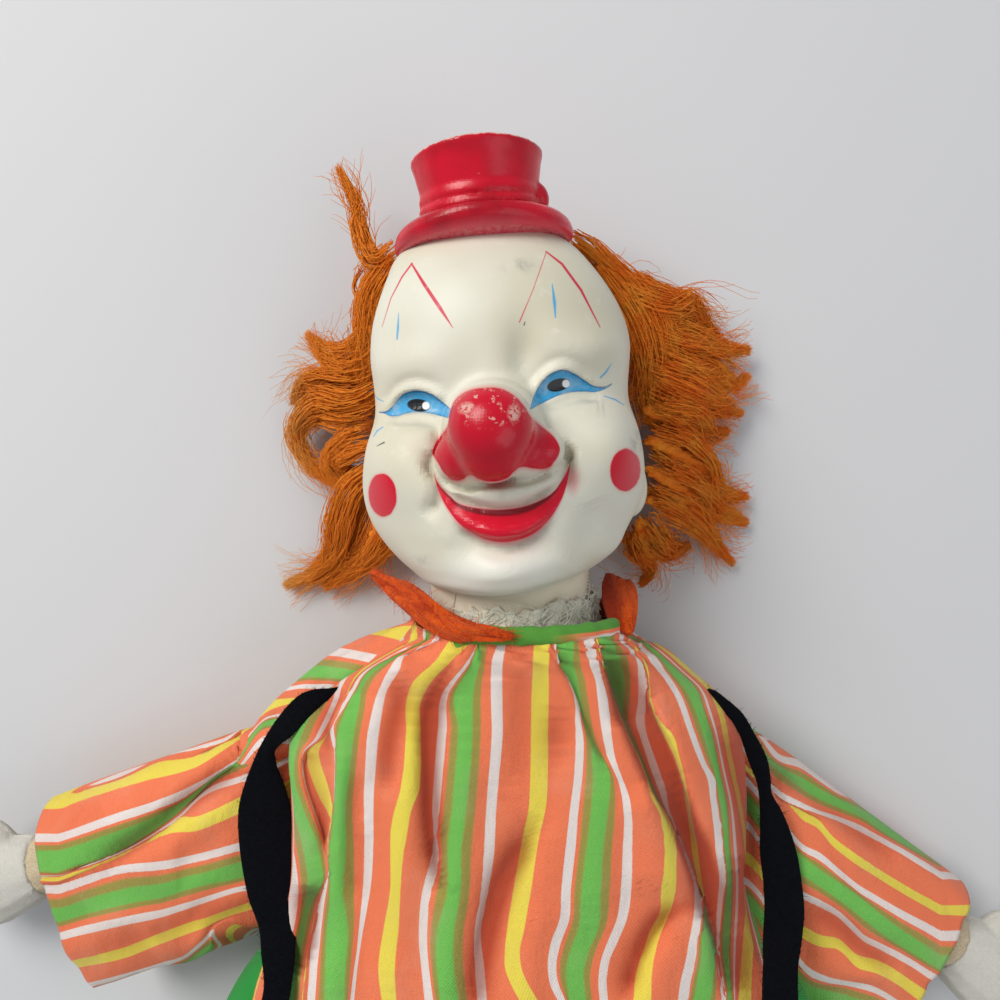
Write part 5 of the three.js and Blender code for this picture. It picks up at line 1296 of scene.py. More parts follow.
leftSleeveLines = [
    (-38.3, 700, 655, 750, 735, 775, 762, 800, 776, 820, 789, 840, 800, 850, 804, 875, 815, 940, 850),
    (-33.7, 700, 664, 750, 744, 775, 770, 800, 787, 820, 799, 840, 808, 865, 820, 875, 827, 940, 862),
    (-29.1, 700, 675, 750, 758, 775, 788, 800, 803, 815, 810, 840, 818, 860, 825, 875, 834, 940, 872),
    (-26.5, 700, 680, 750, 762, 775, 794, 800, 808, 815, 814, 840, 823, 860, 832, 875, 840, 940, 880),
    (-19.6, 700, 690, 750, 768, 770, 781, 790, 797, 800, 808, 820, 821, 830, 834, 850, 851, 875, 868, 940, 905),
    (-15, 700, 700, 750, 776, 770, 789, 790, 805, 800, 817, 820, 830, 830, 842, 850, 859, 875, 876, 940, 915),
    (-7.8, 700, 760, 735, 768, 790, 830, 800, 842, 820, 853, 840, 870, 860, 886, 873, 894, 940, 930),
    (-5.2, 700, 768, 735, 776, 790, 838, 800, 849, 820, 861, 840, 878, 860, 894, 873, 902, 940, 940),
    (-2.3, 700, 780, 735, 785, 790, 846, 810, 862, 825, 873, 850, 890, 875, 910, 940, 955),
    (2.3, 700, 800, 735, 800, 790, 866, 810, 880, 825, 890, 850, 908, 875, 928, 940, 970),
    (6.9, 700, 812, 735, 812, 800, 889, 820, 899, 840, 911, 850, 920, 865, 935, 875, 940, 940, 975),
    (9.5, 700, 820, 735, 820, 800, 896, 820, 906, 840, 918, 850, 928, 865, 942, 875, 947, 940, 985),
    (16.4, 700, 850, 745, 850, 805, 927, 820, 935, 840, 940, 855, 954, 875, 959, 940, 1000),
    (21, 700, 862, 745, 862, 805, 940, 820, 947, 840, 951, 855, 966, 875, 972, 940, 1015),
    (28.2, 700, 880, 750, 880, 808, 965, 825, 973, 850, 980, 875, 987, 940, 1030),
    (30.8, 700, 888, 750, 888, 808, 972, 825, 980, 850, 987, 875, 994, 940, 1040),
    (38.3, 700, 910, 750, 910, 808, 1000, 850, 1012, 875, 1020, 940, 1060), (74, 700, 1010, 940, 1160),
]
rightSleeveFolds = [
    ([(250, 752), (210, 785), (180, 806), (140, 838), (90, 868)], 2.6, -2.4),
    ([(240, 742), (200, 768), (150, 795), (100, 815)], 3.2, 1.5),
    ([(240, 800), (200, 822), (160, 850), (110, 880)], 3.6, 1.4),
    ([(240, 870), (190, 880), (130, 895), (80, 905)], 4, 0.8),
    ([(246, 900), (200, 915), (150, 935), (100, 950)], 3.0, -0.9),
    ([(244, 935), (215, 935), (190, 955)], 2.6, 1.2), ([(140, 920), (160, 950), (175, 970)], 1.6, 0.5),
]
leftSleeveFolds = [
    ([(765, 762), (790, 790), (820, 812), (860, 835), (900, 860)], 3.0, -1.4),
    ([(775, 780), (810, 815), (840, 845), (880, 880)], 3.2, 1.6),
    ([(795, 850), (830, 885), (860, 905), (900, 935)], 3.2, 1.4),
    ([(800, 900), (840, 925), (865, 950), (900, 970)], 2.6, -1.6),
    ([(805, 955), (850, 968), (880, 985)], 3.2, 1.3), ([(740, 780), (748, 830), (752, 880)], 2.6, -1.2),
]
sleeve = {
    "pivot": (60.4, 15, 17.5), "leftDrop": 36, "rightDrop": 20, "hang": 13.5,
    "stations": [  # along, widening, depth
        (-12, 0, 15.2), (-3, 0.0, 16.6), (11, 0.24, 16.8), (25.8, 0.76, 16.8), (42.3, 1, 16.8),
        (69.9, 1, 15.9), (92, 0.97, 14.9),
    ],
    "rootWidth": 17, "widening": 15, "around": 190, "along": 96, "fullness": 2.3, "thickness": 0.7,
    "foldHeight": 1.3, "looseFrom": 30,
}


def armFrame(side, drop):  # where the arm starts, and its directions along and across
    c, s = math.cos(math.radians(drop)), math.sin(math.radians(drop))
    return np.array(sleeve["pivot"]) * (side, 1, 1), np.array([side * c, -s, 0]), np.array([side * s, c, 0])


def sleeveMesh(name, side, drop, lines, folds):
    rows = [
        (along, sleeve["rootWidth"] + sleeve["widening"] * wide, depth, depth, 0, -sleeve["hang"] * wide)
        for along, wide, depth in sleeve["stations"]
    ]
    places, at = ringGrid(rows, sleeve["around"], sleeve["along"], sleeve["fullness"])
    # the tube was made along Y: lay it along the arm, with its wide side across the view
    start, run, wide = armFrame(side, drop)
    places = start + places[:, :, 1:2] * run + places[:, :, 0:1] * wide + places[:, :, 2:] * (0, 0, 1)
    normals = gridNormals(places, (30, sleeve["around"] // 2))
    seen = alongStripes(places, normals, lines, True)
    lay = np.stack([aroundLay(places, seen), repeatAcross(at, sleeve["around"] + 1)], axis=2)
    turn = np.linspace(0, 1, sleeve["around"] + 1)[None, :]
    length = at[:, None]
    move = foldGrid(places, normals, folds, []) * sleeve["foldHeight"]
    # painted shade: darker in the sleeve's fold valleys
    valley = np.clip(0.1 - move / 3.4, 0, 1)
    loose = np.clip(length / sleeve["looseFrom"], 0, 1)
    waves = sumOfWaves(turn, length * 0.04, [(7, 1, 0.5, 0.3 + side), (12, -1.4, 0.3, 1.2)]) * loose
    places = places + towardsView(places) * move[:, :, None] + normals * waves[:, :, None]
    places[:, :, 2] = np.maximum(places[:, :, 2], 0.6)
    return clothFrom(name, places, lay, sleeve["thickness"], values=valley)


for name, side, drop, lines, folds in (
    ("left", 1, sleeve["leftDrop"], leftSleeveLines, leftSleeveFolds),
    ("right", -1, sleeve["rightDrop"], rightSleeveLines, rightSleeveFolds),
):
    piece = sleeveMesh("sleeve_cloth_" + name, side, drop, lines, folds)
    dress(piece, None, "striped_cotton", cottonFinish, "sleeve_" + name)
    start, run, _ = armFrame(side, drop)
    "arm_" + name
    tuple((start - run * 8) * mm)
    tuple((start + run * 14) * mm)
    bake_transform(piece)
    "arm_cloth_" + name
print("sleeves made")

# Shoulder cloth: the tops of the sleeves bunch up beside the neck
capLines = [
    (9.5, 240, 600, 386, 610, 460, 600), (16.4, 240, 640, 383, 631, 412, 626.5, 440, 638),
    (21, 240, 652, 383, 636.5, 412, 643, 440, 641), (28.2, 240, 668, 328, 648, 387, 656.5, 440, 660),
    (30.8, 240, 674, 325, 656.5, 380, 664, 440, 668), (33.7, 240, 690, 307, 667, 360, 671, 440, 676),
    (38.3, 240, 706, 303, 679, 350, 680, 440, 690), (42.9, 240, 716, 287, 688.5, 340, 684, 440, 700),
    (45.5, 240, 720, 283, 693, 330, 689, 440, 710), (52.4, 240, 728, 277, 700, 295, 698, 440, 720),
    (57, 240, 740, 269, 712, 290, 704, 440, 730), (69.7, 240, 752, 266, 722, 290, 720, 440, 745),
    (76, 240, 762, 262, 730, 290, 732, 440, 760), (90, 240, 780, 290, 760, 440, 790),
]
caps = {  # each path as pixels with a height, then half widths and half depths in millimetres, and its stripes
    "right": ([(432, 652, 39), (396, 662, 34), (357, 675, 31), (327, 695, 29), (305, 714, 26), (284, 736, 22),
               (262, 760, 19)],
              [10.5, 9.6, 9.3, 9.3, 9.3, 9, 8], [12, 13.5, 13.5, 13, 12, 12, 11], capLines),
    "left": ([(625, 664, 38), (651, 671, 34), (667, 684, 32), (681, 703, 30), (692, 724, 27), (700, 745, 24)],
             [7.6, 7.8, 7.8, 7.8, 7.8, 7], [11, 12, 12, 12, 12, 10], bodyLines),
    "around": 96, "steps": 16,
}


def capMesh(name, path, wide, deep, lines):
    route = smoothPoints([tuple(placeOf(*spot)) for spot in path], caps["steps"])
    spots = np.linspace(0, 1, len(route))
    over, rise = sidesOf(route)
    half, depth = (spreadOut(sizes, len(route))[:, None] for sizes in (wide, deep))
    angle = np.linspace(0, math.tau, caps["around"] + 1)[None, :]
    far = spots[:, None]
    ripple = 1 + 0.035 * np.sin(angle * 5 + far * 9) + 0.02 * np.sin(angle * 11 - far * 16)
    places = (
        route[:, None, :] + over[:, None, :] * (half * np.cos(angle) * ripple)[:, :, None]
        + rise[:, None, :] * (depth * np.sin(angle) * ripple)[:, :, None]
    )
    reach = across(pixelsOf(places.reshape(-1, 3) * mm), lines, lines is capLines).reshape(places.shape[:2])
    lay = np.stack([reach, repeatAcross(spots * 60, caps["around"] + 1)], axis=2)
    return clothFrom(name, places, lay, shirt["thickness"])


for side, flat in (("left", (0.06, 0.05)), ("right", (0.075, 0.07))):
    cap = capMesh("shoulder_cloth_" + side, *caps[side])
    dress(cap, "torso", "striped_cotton", cottonFinish, "shirt_front", "shirt_back")
print("shoulders made")

# Felt straps and strips: ribbons between two edges
def ribbonMesh(name, rows, thickness, bow=0.0, columns=10, steps=5, crease=0.0):
    first = smoothPoints([list(a) for a, b in rows], steps)
    second = smoothPoints([list(b) for a, b in rows], steps)
    share = np.linspace(0, 1, columns + 1)[None, :, None]
    places = first[:, None, :] * (1 - share) + second[:, None, :] * share
    normals = gridNormals(places, (len(places) // 3, columns // 2))
    places = places + normals * (bow * (1 - (2 * share - 1) ** 2))
    along = lengthAlong(places[:, columns // 2])
    far = along[:, None, None]
    wave = np.sin(share * 7.5 + far * 0.11) + 0.5 * np.sin(share * 15 - far * 0.23)
    places = places + normals * wave * crease
    places[:, :, 2] = np.maximum(places[:, :, 2], thickness / 2)
    over = np.linalg.norm(first - second, axis=1)
    lay = np.stack([over[:, None] * share[:, :, 0], repeatAcross(along, columns + 1)], axis=2)
    made = clothFrom(name, places, lay, thickness, closed=False)
    rim = made.modifiers.new("rim", "BEVEL")
    rim.width = thickness * 0.3 * mm
    rim.segments = 2
    rim.limit_method = "ANGLE"
    rim.angle_limit = math.radians(50)
    return applyModifiers(made)


def fromView(rows):  # (first x, first y, second x, second y, height) in pixels to two places
    return [(tuple(placeOf(ax, ay, z)), tuple(placeOf(bx, by, z))) for ax, ay, bx, by, z in rows]


def matched(rows, row):  # rows with their first edge on the same side as the row's
    if np.dot(np.subtract(*rows[0]), np.subtract(*row)) < 0:
        return [(b, a) for a, b in rows]
    return rows


def overBack(route, width):  # a hidden stretch: places with the direction that its outside faces
    places = np.array([place for place, out in route], float)
    run = np.gradient(places, axis=0)
    rows = []
    for place, along, (_, out) in zip(places, run, route):
        wide = np.cross(along, np.array(out, float))
        wide = wide / np.linalg.norm(wide) * width / 2
        rows.append((tuple(place + wide), tuple(place - wide)))
    return rows


strap = {
    "width": 16, "thickness": 1.5, "endWidth": 12,
    "rightView": [
        (372, 676, 366, 690, 37), (352, 682, 348, 694, 43.4), (333, 688.5, 333, 696, 46.2),
        (316, 689, 324, 701, 46.8), (303, 693, 315, 710, 46.2), (290, 704, 303, 723, 44.8),
        (278, 719, 291, 736, 42.8), (268, 734, 281, 743, 40.6), (259, 750, 274, 752, 38.8),
        (252, 766, 277, 766, 38.0), (246, 782, 283, 781, 37.5), (240, 804, 289, 803, 37.6),
        (240, 842, 295, 842, 38.6), (244, 872, 296.5, 872, 40.2), (249, 897, 297, 896, 43.0),
        (260, 929, 296, 929, 47.6), (262, 955, 295, 955, 52.6), (265, 982, 292, 982, 57.0),
    ],
    "leftView": [
        (690, 684, 688, 694, 33), (702, 687.5, 699, 698, 39.5), (716, 692.5, 711, 706, 44.6),
        (731, 702.5, 723, 714, 45.0), (741, 712, 731, 720, 44.2), (750, 727.5, 738, 731, 42.6),
        (760, 746, 745, 746, 40.6), (766, 760, 751, 764, 39.4), (768.7, 777, 756, 778, 38.8),
        (769, 790, 759, 791, 38.2), (779, 807, 760.5, 806, 37.8), (787, 825, 760.5, 823, 37.4),
        (795, 850, 759.7, 848, 37.2), (800, 880, 763, 880, 38.0), (803, 912, 764.5, 912, 41.4),
        (801, 940, 763, 940, 47.5), (797, 975, 763, 975, 56.0),
    ],
    "behind": [  # the right strap mirrors x
        ((46.5, 46, 27), (0.55, 0.8, 0.1)), ((43.5, 47.5, 16), (0.5, 0.75, -0.4)),
        ((40.8, 43, 5.4), (0.35, 0.5, -0.8)), ((40.5, 30, 1.9), (0.18, 0.1, -0.98)),
        ((40.5, 6, 1.5), (0.18, 0, -0.98)), ((40.5, -34, 1.5), (0.18, 0, -0.98)),
    ],
    "down": [((71, -55, 58.6), (0.3, 0, 0.95)), ((70.5, -63, 58.4), (0.4, 0, 0.9)),
             ((70, -69.5, 56.6), (0.45, -0.2, 0.85)), ((69.5, -75, 53.6), (0.5, 0, 0.85))],
}


def strapMesh(name, side, seen):
    def mirrored(route):
        return [((side * x, y, z), (side * a, b, c)) for (x, y, z), (a, b, c) in route]

    front = fromView(seen)
    behind = matched(overBack(mirrored(strap["behind"]), strap["width"]), front[0])
    down = matched(overBack(mirrored(strap["down"]), strap["endWidth"]), front[-1])
    return ribbonMesh(name, behind[::-1] + front + down, strap["thickness"], 0.5)


def feltFinish(name, color, lint, roughness=0.95, sheen=0.1):
    finish = Finish(name)
    place = finish.place()
    fibres = finish.noise(place, 0.55, 4, 0.75, 1.5)
    pills = finish.noise(place, 2.6, 4, 0.7)
    base = finish.mix(fibres.ramp(0.35, 0.8), color, lint)
    base = finish.mix(pills.ramp(0.55, 0.8) * 0.3, base, lint)
    finish.set(
        Base_Color=base, Roughness=roughness, Normal=finish.bump(fibres * 0.7 + pills * 0.8, 0.7),
        Sheen_Weight=sheen, Sheen_Roughness=0.5, Specular_IOR_Level=0.06,
    )
    return finish


blackFelt = feltFinish("black_felt_cloth", srgb(6, 7, 11), srgb(22, 24, 32), 0.98, 0.01)
for name, side, seen in (("left", 1, strap["leftView"]), ("right", -1, strap["rightView"])):
    piece = dress(strapMesh("strap_" + name, side, seen), "torso", "black_felt", blackFelt, "suspender_" + name)
print("straps made")

# Neck: binding, the loose felt strip, the frayed edge of the body cloth
neck = {
    "axis": 34, "around": 200, "along": 22, "girth": 210,
    "gathers": [(23, 0.27, 0.14, 0), (37, -0.54, 0.1, 1)],
    "dip": 5.5, "dipFrom": -10, "dipReach": 12,  # the binding runs lower on the doll's right
    "binding": [  # y, radius
        (62.4, 31.8), (62.5, 33.2), (63.2, 33.9), (64.6, 34.0), (65.8, 33.6), (66.4, 32.8), (66.3, 31.9),
        (65.2, 31.2),
    ],
    "stripFront": [  # pixels of both edges, and the height
        (374, 570, 377, 577, 38), (385, 576, 382, 585, 41), (396, 579, 388, 594, 44.5),
        (410, 583.5, 401, 606, 50.5), (424, 592, 414, 618, 55.5), (438, 604, 428, 629, 59),
        (454, 614.5, 442, 637.5, 63), (470, 621.5, 460, 641, 66.5), (486, 626, 479, 641, 68.5),
        (500, 630.5, 497, 640, 69.4), (512, 635, 511, 638, 69),
    ],
    "stripTail": [
        (606, 575, 630, 583, 36), (602, 588, 636, 592, 42), (603, 604, 637, 608, 48), (610, 624, 634, 626, 52),
    ],
    "wrap": [350, 325, 300, 275, 250, 225, 200, 175],  # degrees round behind the neck
}
bindingStations = [(y, r, r - 0.6, r - 0.6, neck["axis"]) for y, r in neck["binding"]]
places, at = ringGrid(bindingStations, neck["around"], neck["along"], 2.0)
turn = np.linspace(0, 1, neck["around"] + 1)
gathers = sumOfWaves(turn[None, :], at[:, None], neck["gathers"])
places = places + gridNormals(places) * gathers[:, :, None]
places[:, :, 2] = np.maximum(places[:, :, 2], 0.6)
places[:, :, 1] -= neck["dip"] * np.clip((neck["dipFrom"] - places[:, :, 0]) / neck["dipReach"], 0, 1)
lay = np.stack([repeatDown(turn * neck["girth"], len(at)), repeatAcross(at, len(turn))], axis=2)
binding = clothFrom("binding_band", places, lay, 0.9)


def bindingFinish():
    finish = Finish("green_binding_band")
    s, t, _ = finish.split(finish.uv("cloth"))
    x, y, z = finish.split(finish.place())
    weave = finish.noise(finish.scaled(finish.uv("cloth"), (3, 3, 1)), 1, 3, 0.7)
    wander = (finish.noise(finish.vector(s * 0.05, 0), 1, 2) - 0.5) * 0.8
    base = finish.mix(weave.ramp(0.3, 0.8) * 0.5, srgb(80, 146, 52), srgb(112, 170, 78))
    fold = x.above(14, 7)
    # an orange and a white edge, where its fold lies open
    base = finish.mix((t + wander).below(3.2, 0.25) * fold, base, stripes["orange"])
    base = finish.mix((t + wander).below(2.3, 0.25) * x.above(19, 5), base, stripes["white"])
    finish.set(
        Base_Color=base, Roughness=0.88, Normal=finish.bump(weave, 0.2), Sheen_Weight=0.1,
        Specular_IOR_Level=0.2,
    )
    return finish


dress(binding, "torso", "green_binding", bindingFinish(), "neck_binding")


def stripFinish():  # worn orange felt, darker where it is folded and in the shade of the hair
    finish = Finish("orange_felt_strip")
    place = finish.place()
    s, t, _ = finish.split(finish.uv("cloth"))
    x, y, z = finish.split(place)
    fibres = finish.noise(place, 0.8, 4, 0.75, 2)
    matted = finish.noise(finish.scaled(finish.uv("cloth"), (1, 0.25, 1)), 2.2, 3, 0.7, 1)
    base = finish.mix(fibres.ramp(0.3, 0.75), srgb(206, 56, 6), srgb(246, 112, 22))
    base = finish.mix(matted.ramp(0.46, 0.7) * 0.75, base, srgb(158, 26, 4))
    base = finish.mix(x.above(20, 1) * x.below(29.5, 2) * 0.75, base, srgb(132, 20, 4))
    finish.set(
        Base_Color=base, Roughness=0.95, Normal=finish.bump(fibres * 0.6 + matted, 0.9),
        Sheen_Weight=0.08, Specular_IOR_Level=0.1,
    )
    return finish


orangeFelt = stripFinish()
stripFront = ribbonMesh("felt_strip_front", fromView(neck["stripFront"]), 1.1, 0.5, 18, 6, 0.62)
dress(stripFront, "torso", "orange_felt", orangeFelt, "neck_scarf")
tail = fromView(neck["stripTail"])
wrapRows = []
for angle in neck["wrap"]:
    c, s = math.cos(math.radians(angle)), math.sin(math.radians(angle))
    wrapRows.append(((31.6 * c, 67.5, neck["axis"] + 30.6 * s), (31.9 * c, 62.8, neck["axis"] + 31 * s)))
stripBack = ribbonMesh("felt_strip_back", tail + wrapRows, 1.2, 0.4, 14, 5, 0.3)
dress(stripBack, "torso", "orange_felt", orangeFelt, "neck_scarf")

fray = {
    "radius": 25.3, "low": 8.5, "high": 18.2, "floor": 6.8,
    "around": 180, "along": 14, "girth": 160, "width": 13,
    "threads": 380, "thread": 0.12, "length": (2.2, 5.6), "lean": 1.76, "rootRise": 7.5, "threadFloor": 6,
}


def fromHead(places, floor):  # from the head's own frame to the doll's, kept above a floor
    places = places @ np.array(headMatrix.to_3x3()).T + np.array(head["pivot"])
    places[..., 2] = np.maximum(places[..., 2], floor)
    return places


turn = np.linspace(0, 1, fray["around"] + 1)
angle = turn[None, :] * math.tau
rows = np.linspace(0, 1, fray["along"] + 1)[:, None]
ragged = 0.9 * np.sin(7 * angle + 1) + 0.7 * np.sin(19 * angle) + 0.5 * np.sin(43 * angle + 2)
radius = fray["radius"] + 0.35 * np.sin(23 * angle + 3 * rows)
rise = fray["low"] + (fray["high"] + ragged - fray["low"]) * rows
band = fromHead(np.stack([radius * np.cos(angle), rise, radius * np.sin(angle)], axis=2), fray["floor"])
lay = [repeatDown(turn * fray["girth"], len(rows)), repeatAcross(rows * fray["width"], len(turn))]
lay = np.stack(lay, axis=2)
frayBand = clothFrom("frayed_band", band, lay, 0.5)


def weaveFinish(name, color, dark, size=0.5, depth=0.3):
    finish = Finish(name)
    place = finish.place()
    threads = finish.noise(place, size, 3, 0.7)
    cloud = finish.noise(place, 11, 3)
    base = finish.mix(threads.ramp(0.3, 0.75), dark, color)
    base = finish.mix(cloud.ramp(0.45, 0.8) * 0.35, base, dark)
    finish.set(
        Base_Color=base, Roughness=0.92, Normal=finish.bump(threads, depth), Sheen_Weight=0.1,
        Specular_IOR_Level=0.2,
    )
    return finish


muslin = weaveFinish("body_muslin_cloth", srgb(222, 206, 176), srgb(186, 166, 132))
filling = weaveFinish("stuffing_fibre", srgb(236, 232, 222), srgb(206, 200, 188), 2.2, 0.8)
cordFinish = weaveFinish("neck_cord_twist", srgb(206, 214, 190), srgb(150, 164, 132), 0.8, 0.4)
frayFinish = weaveFinish("frayed_thread", srgb(250, 248, 238), srgb(226, 226, 212), 0.8, 0.3)
frayCloth = weaveFinish("frayed_band_cloth", srgb(240, 234, 216), srgb(206, 200, 180), 0.9, 0.4)
dress(frayBand, "neck", "body_muslin", frayCloth, "neck_fray")


# Fine strands: many thin tubes in one mesh, each given by its points in millimetres
def strandsFrom(name, lines, radius, tip=0.35):
    data = bpy.data.curves.new(name, "CURVE")
    data.dimensions = "3D"
    data.bevel_depth = radius * mm
    data.bevel_resolution = 0
    for line in lines:
        spline = data.splines.new("POLY")
        spline.points.add(len(line) - 1)
        places = np.concatenate([line * mm, np.ones((len(line), 1))], axis=1)
        spline.points.foreach_set("co", places.astype(np.float32).ravel())
        spline.points.foreach_set("radius", np.linspace(1, tip, len(line)).astype(np.float32))
    made = bpy.data.objects.new(name, data)
    scene.collection.objects.link(made)
    graph = bpy.context.evaluated_depsgraph_get()
    mesh = bpy.data.meshes.new_from_object(made.evaluated_get(graph))
    bpy.data.objects.remove(made)
    mesh.name = name
    mesh.shade_smooth()
    made = bpy.data.objects.new(name, mesh)
    scene.collection.objects.link(made)
    return made


def fuzzOn(name, piece, count, length, radius, seed):  # loose fibres that stand out of felt
    chance = random.Random(seed)
    places, normals = placesOf(piece.data) / mm, normalsOf(piece.data)
    lines = []
    for _ in range(count):
        spot = chance.randrange(len(places))
        lean, bend = (np.array([chance.gauss(0, width) for width in (1, 1, 0.5)]) for _ in range(2))
        lean /= np.linalg.norm(lean)
        far = chance.uniform(*length)
        share = np.linspace(0, 1, 5)[:, None]
        line = places[spot] + (normals[spot] * 0.35 + lean * 0.8) * far * share + bend * 0.5 * far * share ** 2
        line[:, 2] = np.maximum(line[:, 2], 0.4)
        lines.append(line)
    return strandsFrom(name, lines, radius, 0.5)


for name, felt, count, length, seed in (
    ("front", stripFront, 900, (0.8, 2.4), 3), ("back", stripBack, 500, (0.6, 1.6), 4),
):
    fuzz = fuzzOn("felt_strip_fuzz_" + name, felt, count, length, 0.07, seed)
    dress(fuzz, "torso", "orange_felt", orangeFelt, "neck_scarf")
for name, seed in (("left", 5), ("right", 6)):
    fuzz = fuzzOn("strap_fuzz_" + name, bpy.data.objects["strap_" + name], 2600, (0.5, 1.3), 0.06, seed)
    dress(fuzz, "torso", "black_felt", blackFelt, "suspender_" + name)

chance = random.Random(7)
threads = []
for _ in range(fray["threads"]):
    a = chance.uniform(0, math.tau)
    if -1.9 < a - 1.5 * math.pi < 1.9 and chance.random() < 0.5:  # fewer behind the neck
        a = chance.uniform(0, math.pi)
    out = np.array([math.cos(a), 0, math.sin(a)])
    along = np.array([-math.sin(a), 0, math.cos(a)])
    lean = chance.gauss(0, fray["lean"])
    length = chance.uniform(*fray["length"])
    up = np.array([0, 1 if chance.random() < 0.55 else -1, 0])
    rise = fray["high"] - chance.uniform(0, fray["rootRise"])
    root = out * (fray["radius"] + 0.5) + np.array([0, rise, 0])
    t = np.linspace(0, 1, 6)[:, None]
    line = root + (up * 0.8 + along * lean * 0.7) * length * t
    line = line + out * 0.9 * np.sin(t * 2.6 + lean) * t + along * 0.3 * np.sin(t * 7 + lean * 5)
    threads.append(fromHead(line, fray["threadFloor"]))
frayThreads = strandsFrom("frayed_threads", threads, fray["thread"], 0.6)
dress(frayThreads, "neck", "body_muslin", frayFinish, "neck_fray")
print("neck made")

# Hair: orange wool in locks. Each lock: pixels and heights along it, half widths in millimetres, strands.
hair = {
    "seed": 11, "radius": 0.15, "points": 11, "density": 1.7, "coreVoxel": 1.3,
    "clumps": 9, "clumpReach": 0.85, "clumpLean": 0.6, "clumpTurn": 0.26, "clumpSpread": 0.15,
    "wildShare": 0.22,
    "wild": {"first": (0.2, 0.7), "drift": 4.6, "driftPower": 1.6, "curl": 2.2, "lift": 1.8},
    "calm": {"first": (0, 0.4), "drift": 0.45, "driftPower": 1, "curl": 0.6, "lift": 0.6},
    "frizz": (0.06, 0.26), "frizzPace": (14, 30),
}
sideLocks = {
    "right": [
        ([(398, 250, 34), (376, 262, 30), (362, 232, 26), (357, 205, 24), (347, 184, 23), (337, 169, 22)],
         (4.0, 4.6, 3.4, 2.4, 1.5, 0.5), 150),
        ([(392, 262, 30), (374, 300, 28), (366, 340, 26), (360, 380, 24)], (5, 5.5, 6, 5), 230),
        ([(384, 330, 26), (362, 352, 24), (345, 360, 20), (322, 352, 16), (306, 336, 13)],
         (5, 6.5, 6.5, 4, 1.2), 240),
        ([(380, 372, 24), (352, 378, 20), (325, 376, 15), (303, 384, 10), (297, 405, 7)], (7, 9, 8, 6, 2.5),
         330),
        ([(376, 400, 22), (346, 410, 18), (316, 412, 12), (300, 432, 8), (308, 462, 8), (334, 486, 10)],
         (7, 8.5, 7, 4.5, 3.2, 2), 320),
        ([(374, 440, 22), (352, 450, 18), (336, 462, 14), (346, 480, 12), (368, 470, 16)], (6, 6.5, 5, 4.5, 3),
         230),
        ([(378, 470, 22), (358, 490, 17), (348, 520, 12), (342, 548, 8), (320, 572, 5), (286, 583, 3)],
         (6, 7.5, 7.5, 6, 3.6, 0.8), 330),
        ([(388, 500, 22), (376, 530, 16), (362, 556, 10), (344, 576, 6), (326, 588, 4)], (6, 7, 6, 4, 1.4),
         240),
        ([(398, 512, 20), (390, 535, 16), (384, 548, 12), (372, 562, 8)], (5, 5.5, 4, 1.6), 140),
        ([(380, 300, 26), (368, 290, 24), (372, 268, 24), (382, 256, 26)], (4.5, 4.5, 4, 3), 110),
    ],
    "left": [
        ([(566, 238, 32), (592, 254, 30), (612, 272, 28), (634, 282, 22), (641, 294, 18)],
         (4, 5.5, 5.5, 4, 1.4), 200),
        ([(600, 262, 30), (622, 296, 27), (640, 330, 24), (652, 372, 20), (655, 420, 18)], (5, 8, 9.5, 10, 9),
         460),
        ([(612, 290, 28), (648, 304, 24), (676, 308, 18), (698, 316, 13), (706, 332, 10)], (6, 8, 8, 6, 2.4),
         330),
        ([(630, 320, 26), (668, 334, 20), (700, 344, 14), (730, 350, 10), (748, 352, 8)], (7, 10, 9, 5.5, 1.6),
         370),
        ([(640, 350, 24), (680, 362, 18), (712, 372, 12), (738, 388, 8), (749, 378, 7)], (8, 10, 8, 4.2, 1.4),
         330),
        ([(645, 380, 22), (685, 394, 17), (716, 404, 11), (740, 414, 7)], (8, 10, 7.5, 1.6), 340),
        ([(648, 410, 22), (684, 424, 17), (708, 436, 11), (726, 430, 8)], (8, 9.5, 7, 2.2), 300),
        ([(650, 440, 22), (682, 456, 16), (704, 470, 11), (716, 488, 8), (746, 497, 5)], (8, 9, 7, 4.5, 1),
         320),
        ([(650, 470, 22), (676, 486, 16), (700, 500, 11), (722, 512, 7), (746, 520, 4)], (7.5, 9, 7, 4.2, 0.9),
         320),
        ([(648, 500, 21), (672, 512, 16), (696, 528, 11), (716, 546, 7), (733, 561, 4)], (7, 8, 6.5, 4, 0.9),
         290),
        ([(640, 520, 21), (658, 540, 15), (672, 552, 10), (690, 548, 7)], (6.5, 7.5, 5.5, 1.8), 230),
        ([(636, 530, 20), (646, 556, 14), (648, 572, 9), (640, 584, 6)], (5.5, 6, 4.2, 1.4), 200),
        ([(655, 330, 22), (690, 300, 16), (700, 318, 12), (718, 336, 9)], (6, 5, 4, 1.2), 140),
    ],
}
backRows = {"y": (84, 94, 104, 114, 124, 134, 144, 154, 163, 172, 180), "middle": -5, "strands": 78}


for locks in sideLocks.values():
    locks[:] = [
        (smoothPoints([tuple(placeOf(*spot)) for spot in path], 8), widths, count) for path, widths,
        count in locks
    ]


def backLocks():
    locks = []
    for y in backRows["y"]:
        reach = 40 - 0.006 * (y - 128) ** 2
        middle = backRows["middle"] - (y - 128) * 0.07
        lean = -0.05 * (y - 125)
        for side in (-1, 1):
            path = [
                (middle + side * out, y + lean * rise, z) for out, rise, z in (
                    (0, 0, 5.2), (reach * 0.35, 0.4, 5.0), (reach * 0.72, 1, 8.5), (reach, 1.6, 17.5),
                    (reach + 3.5, 2.2, 25),
                )
            ]
            locks.append((smoothPoints(path, 8), (4.6, 5, 5, 4.6, 3), backRows["strands"]))
    return locks


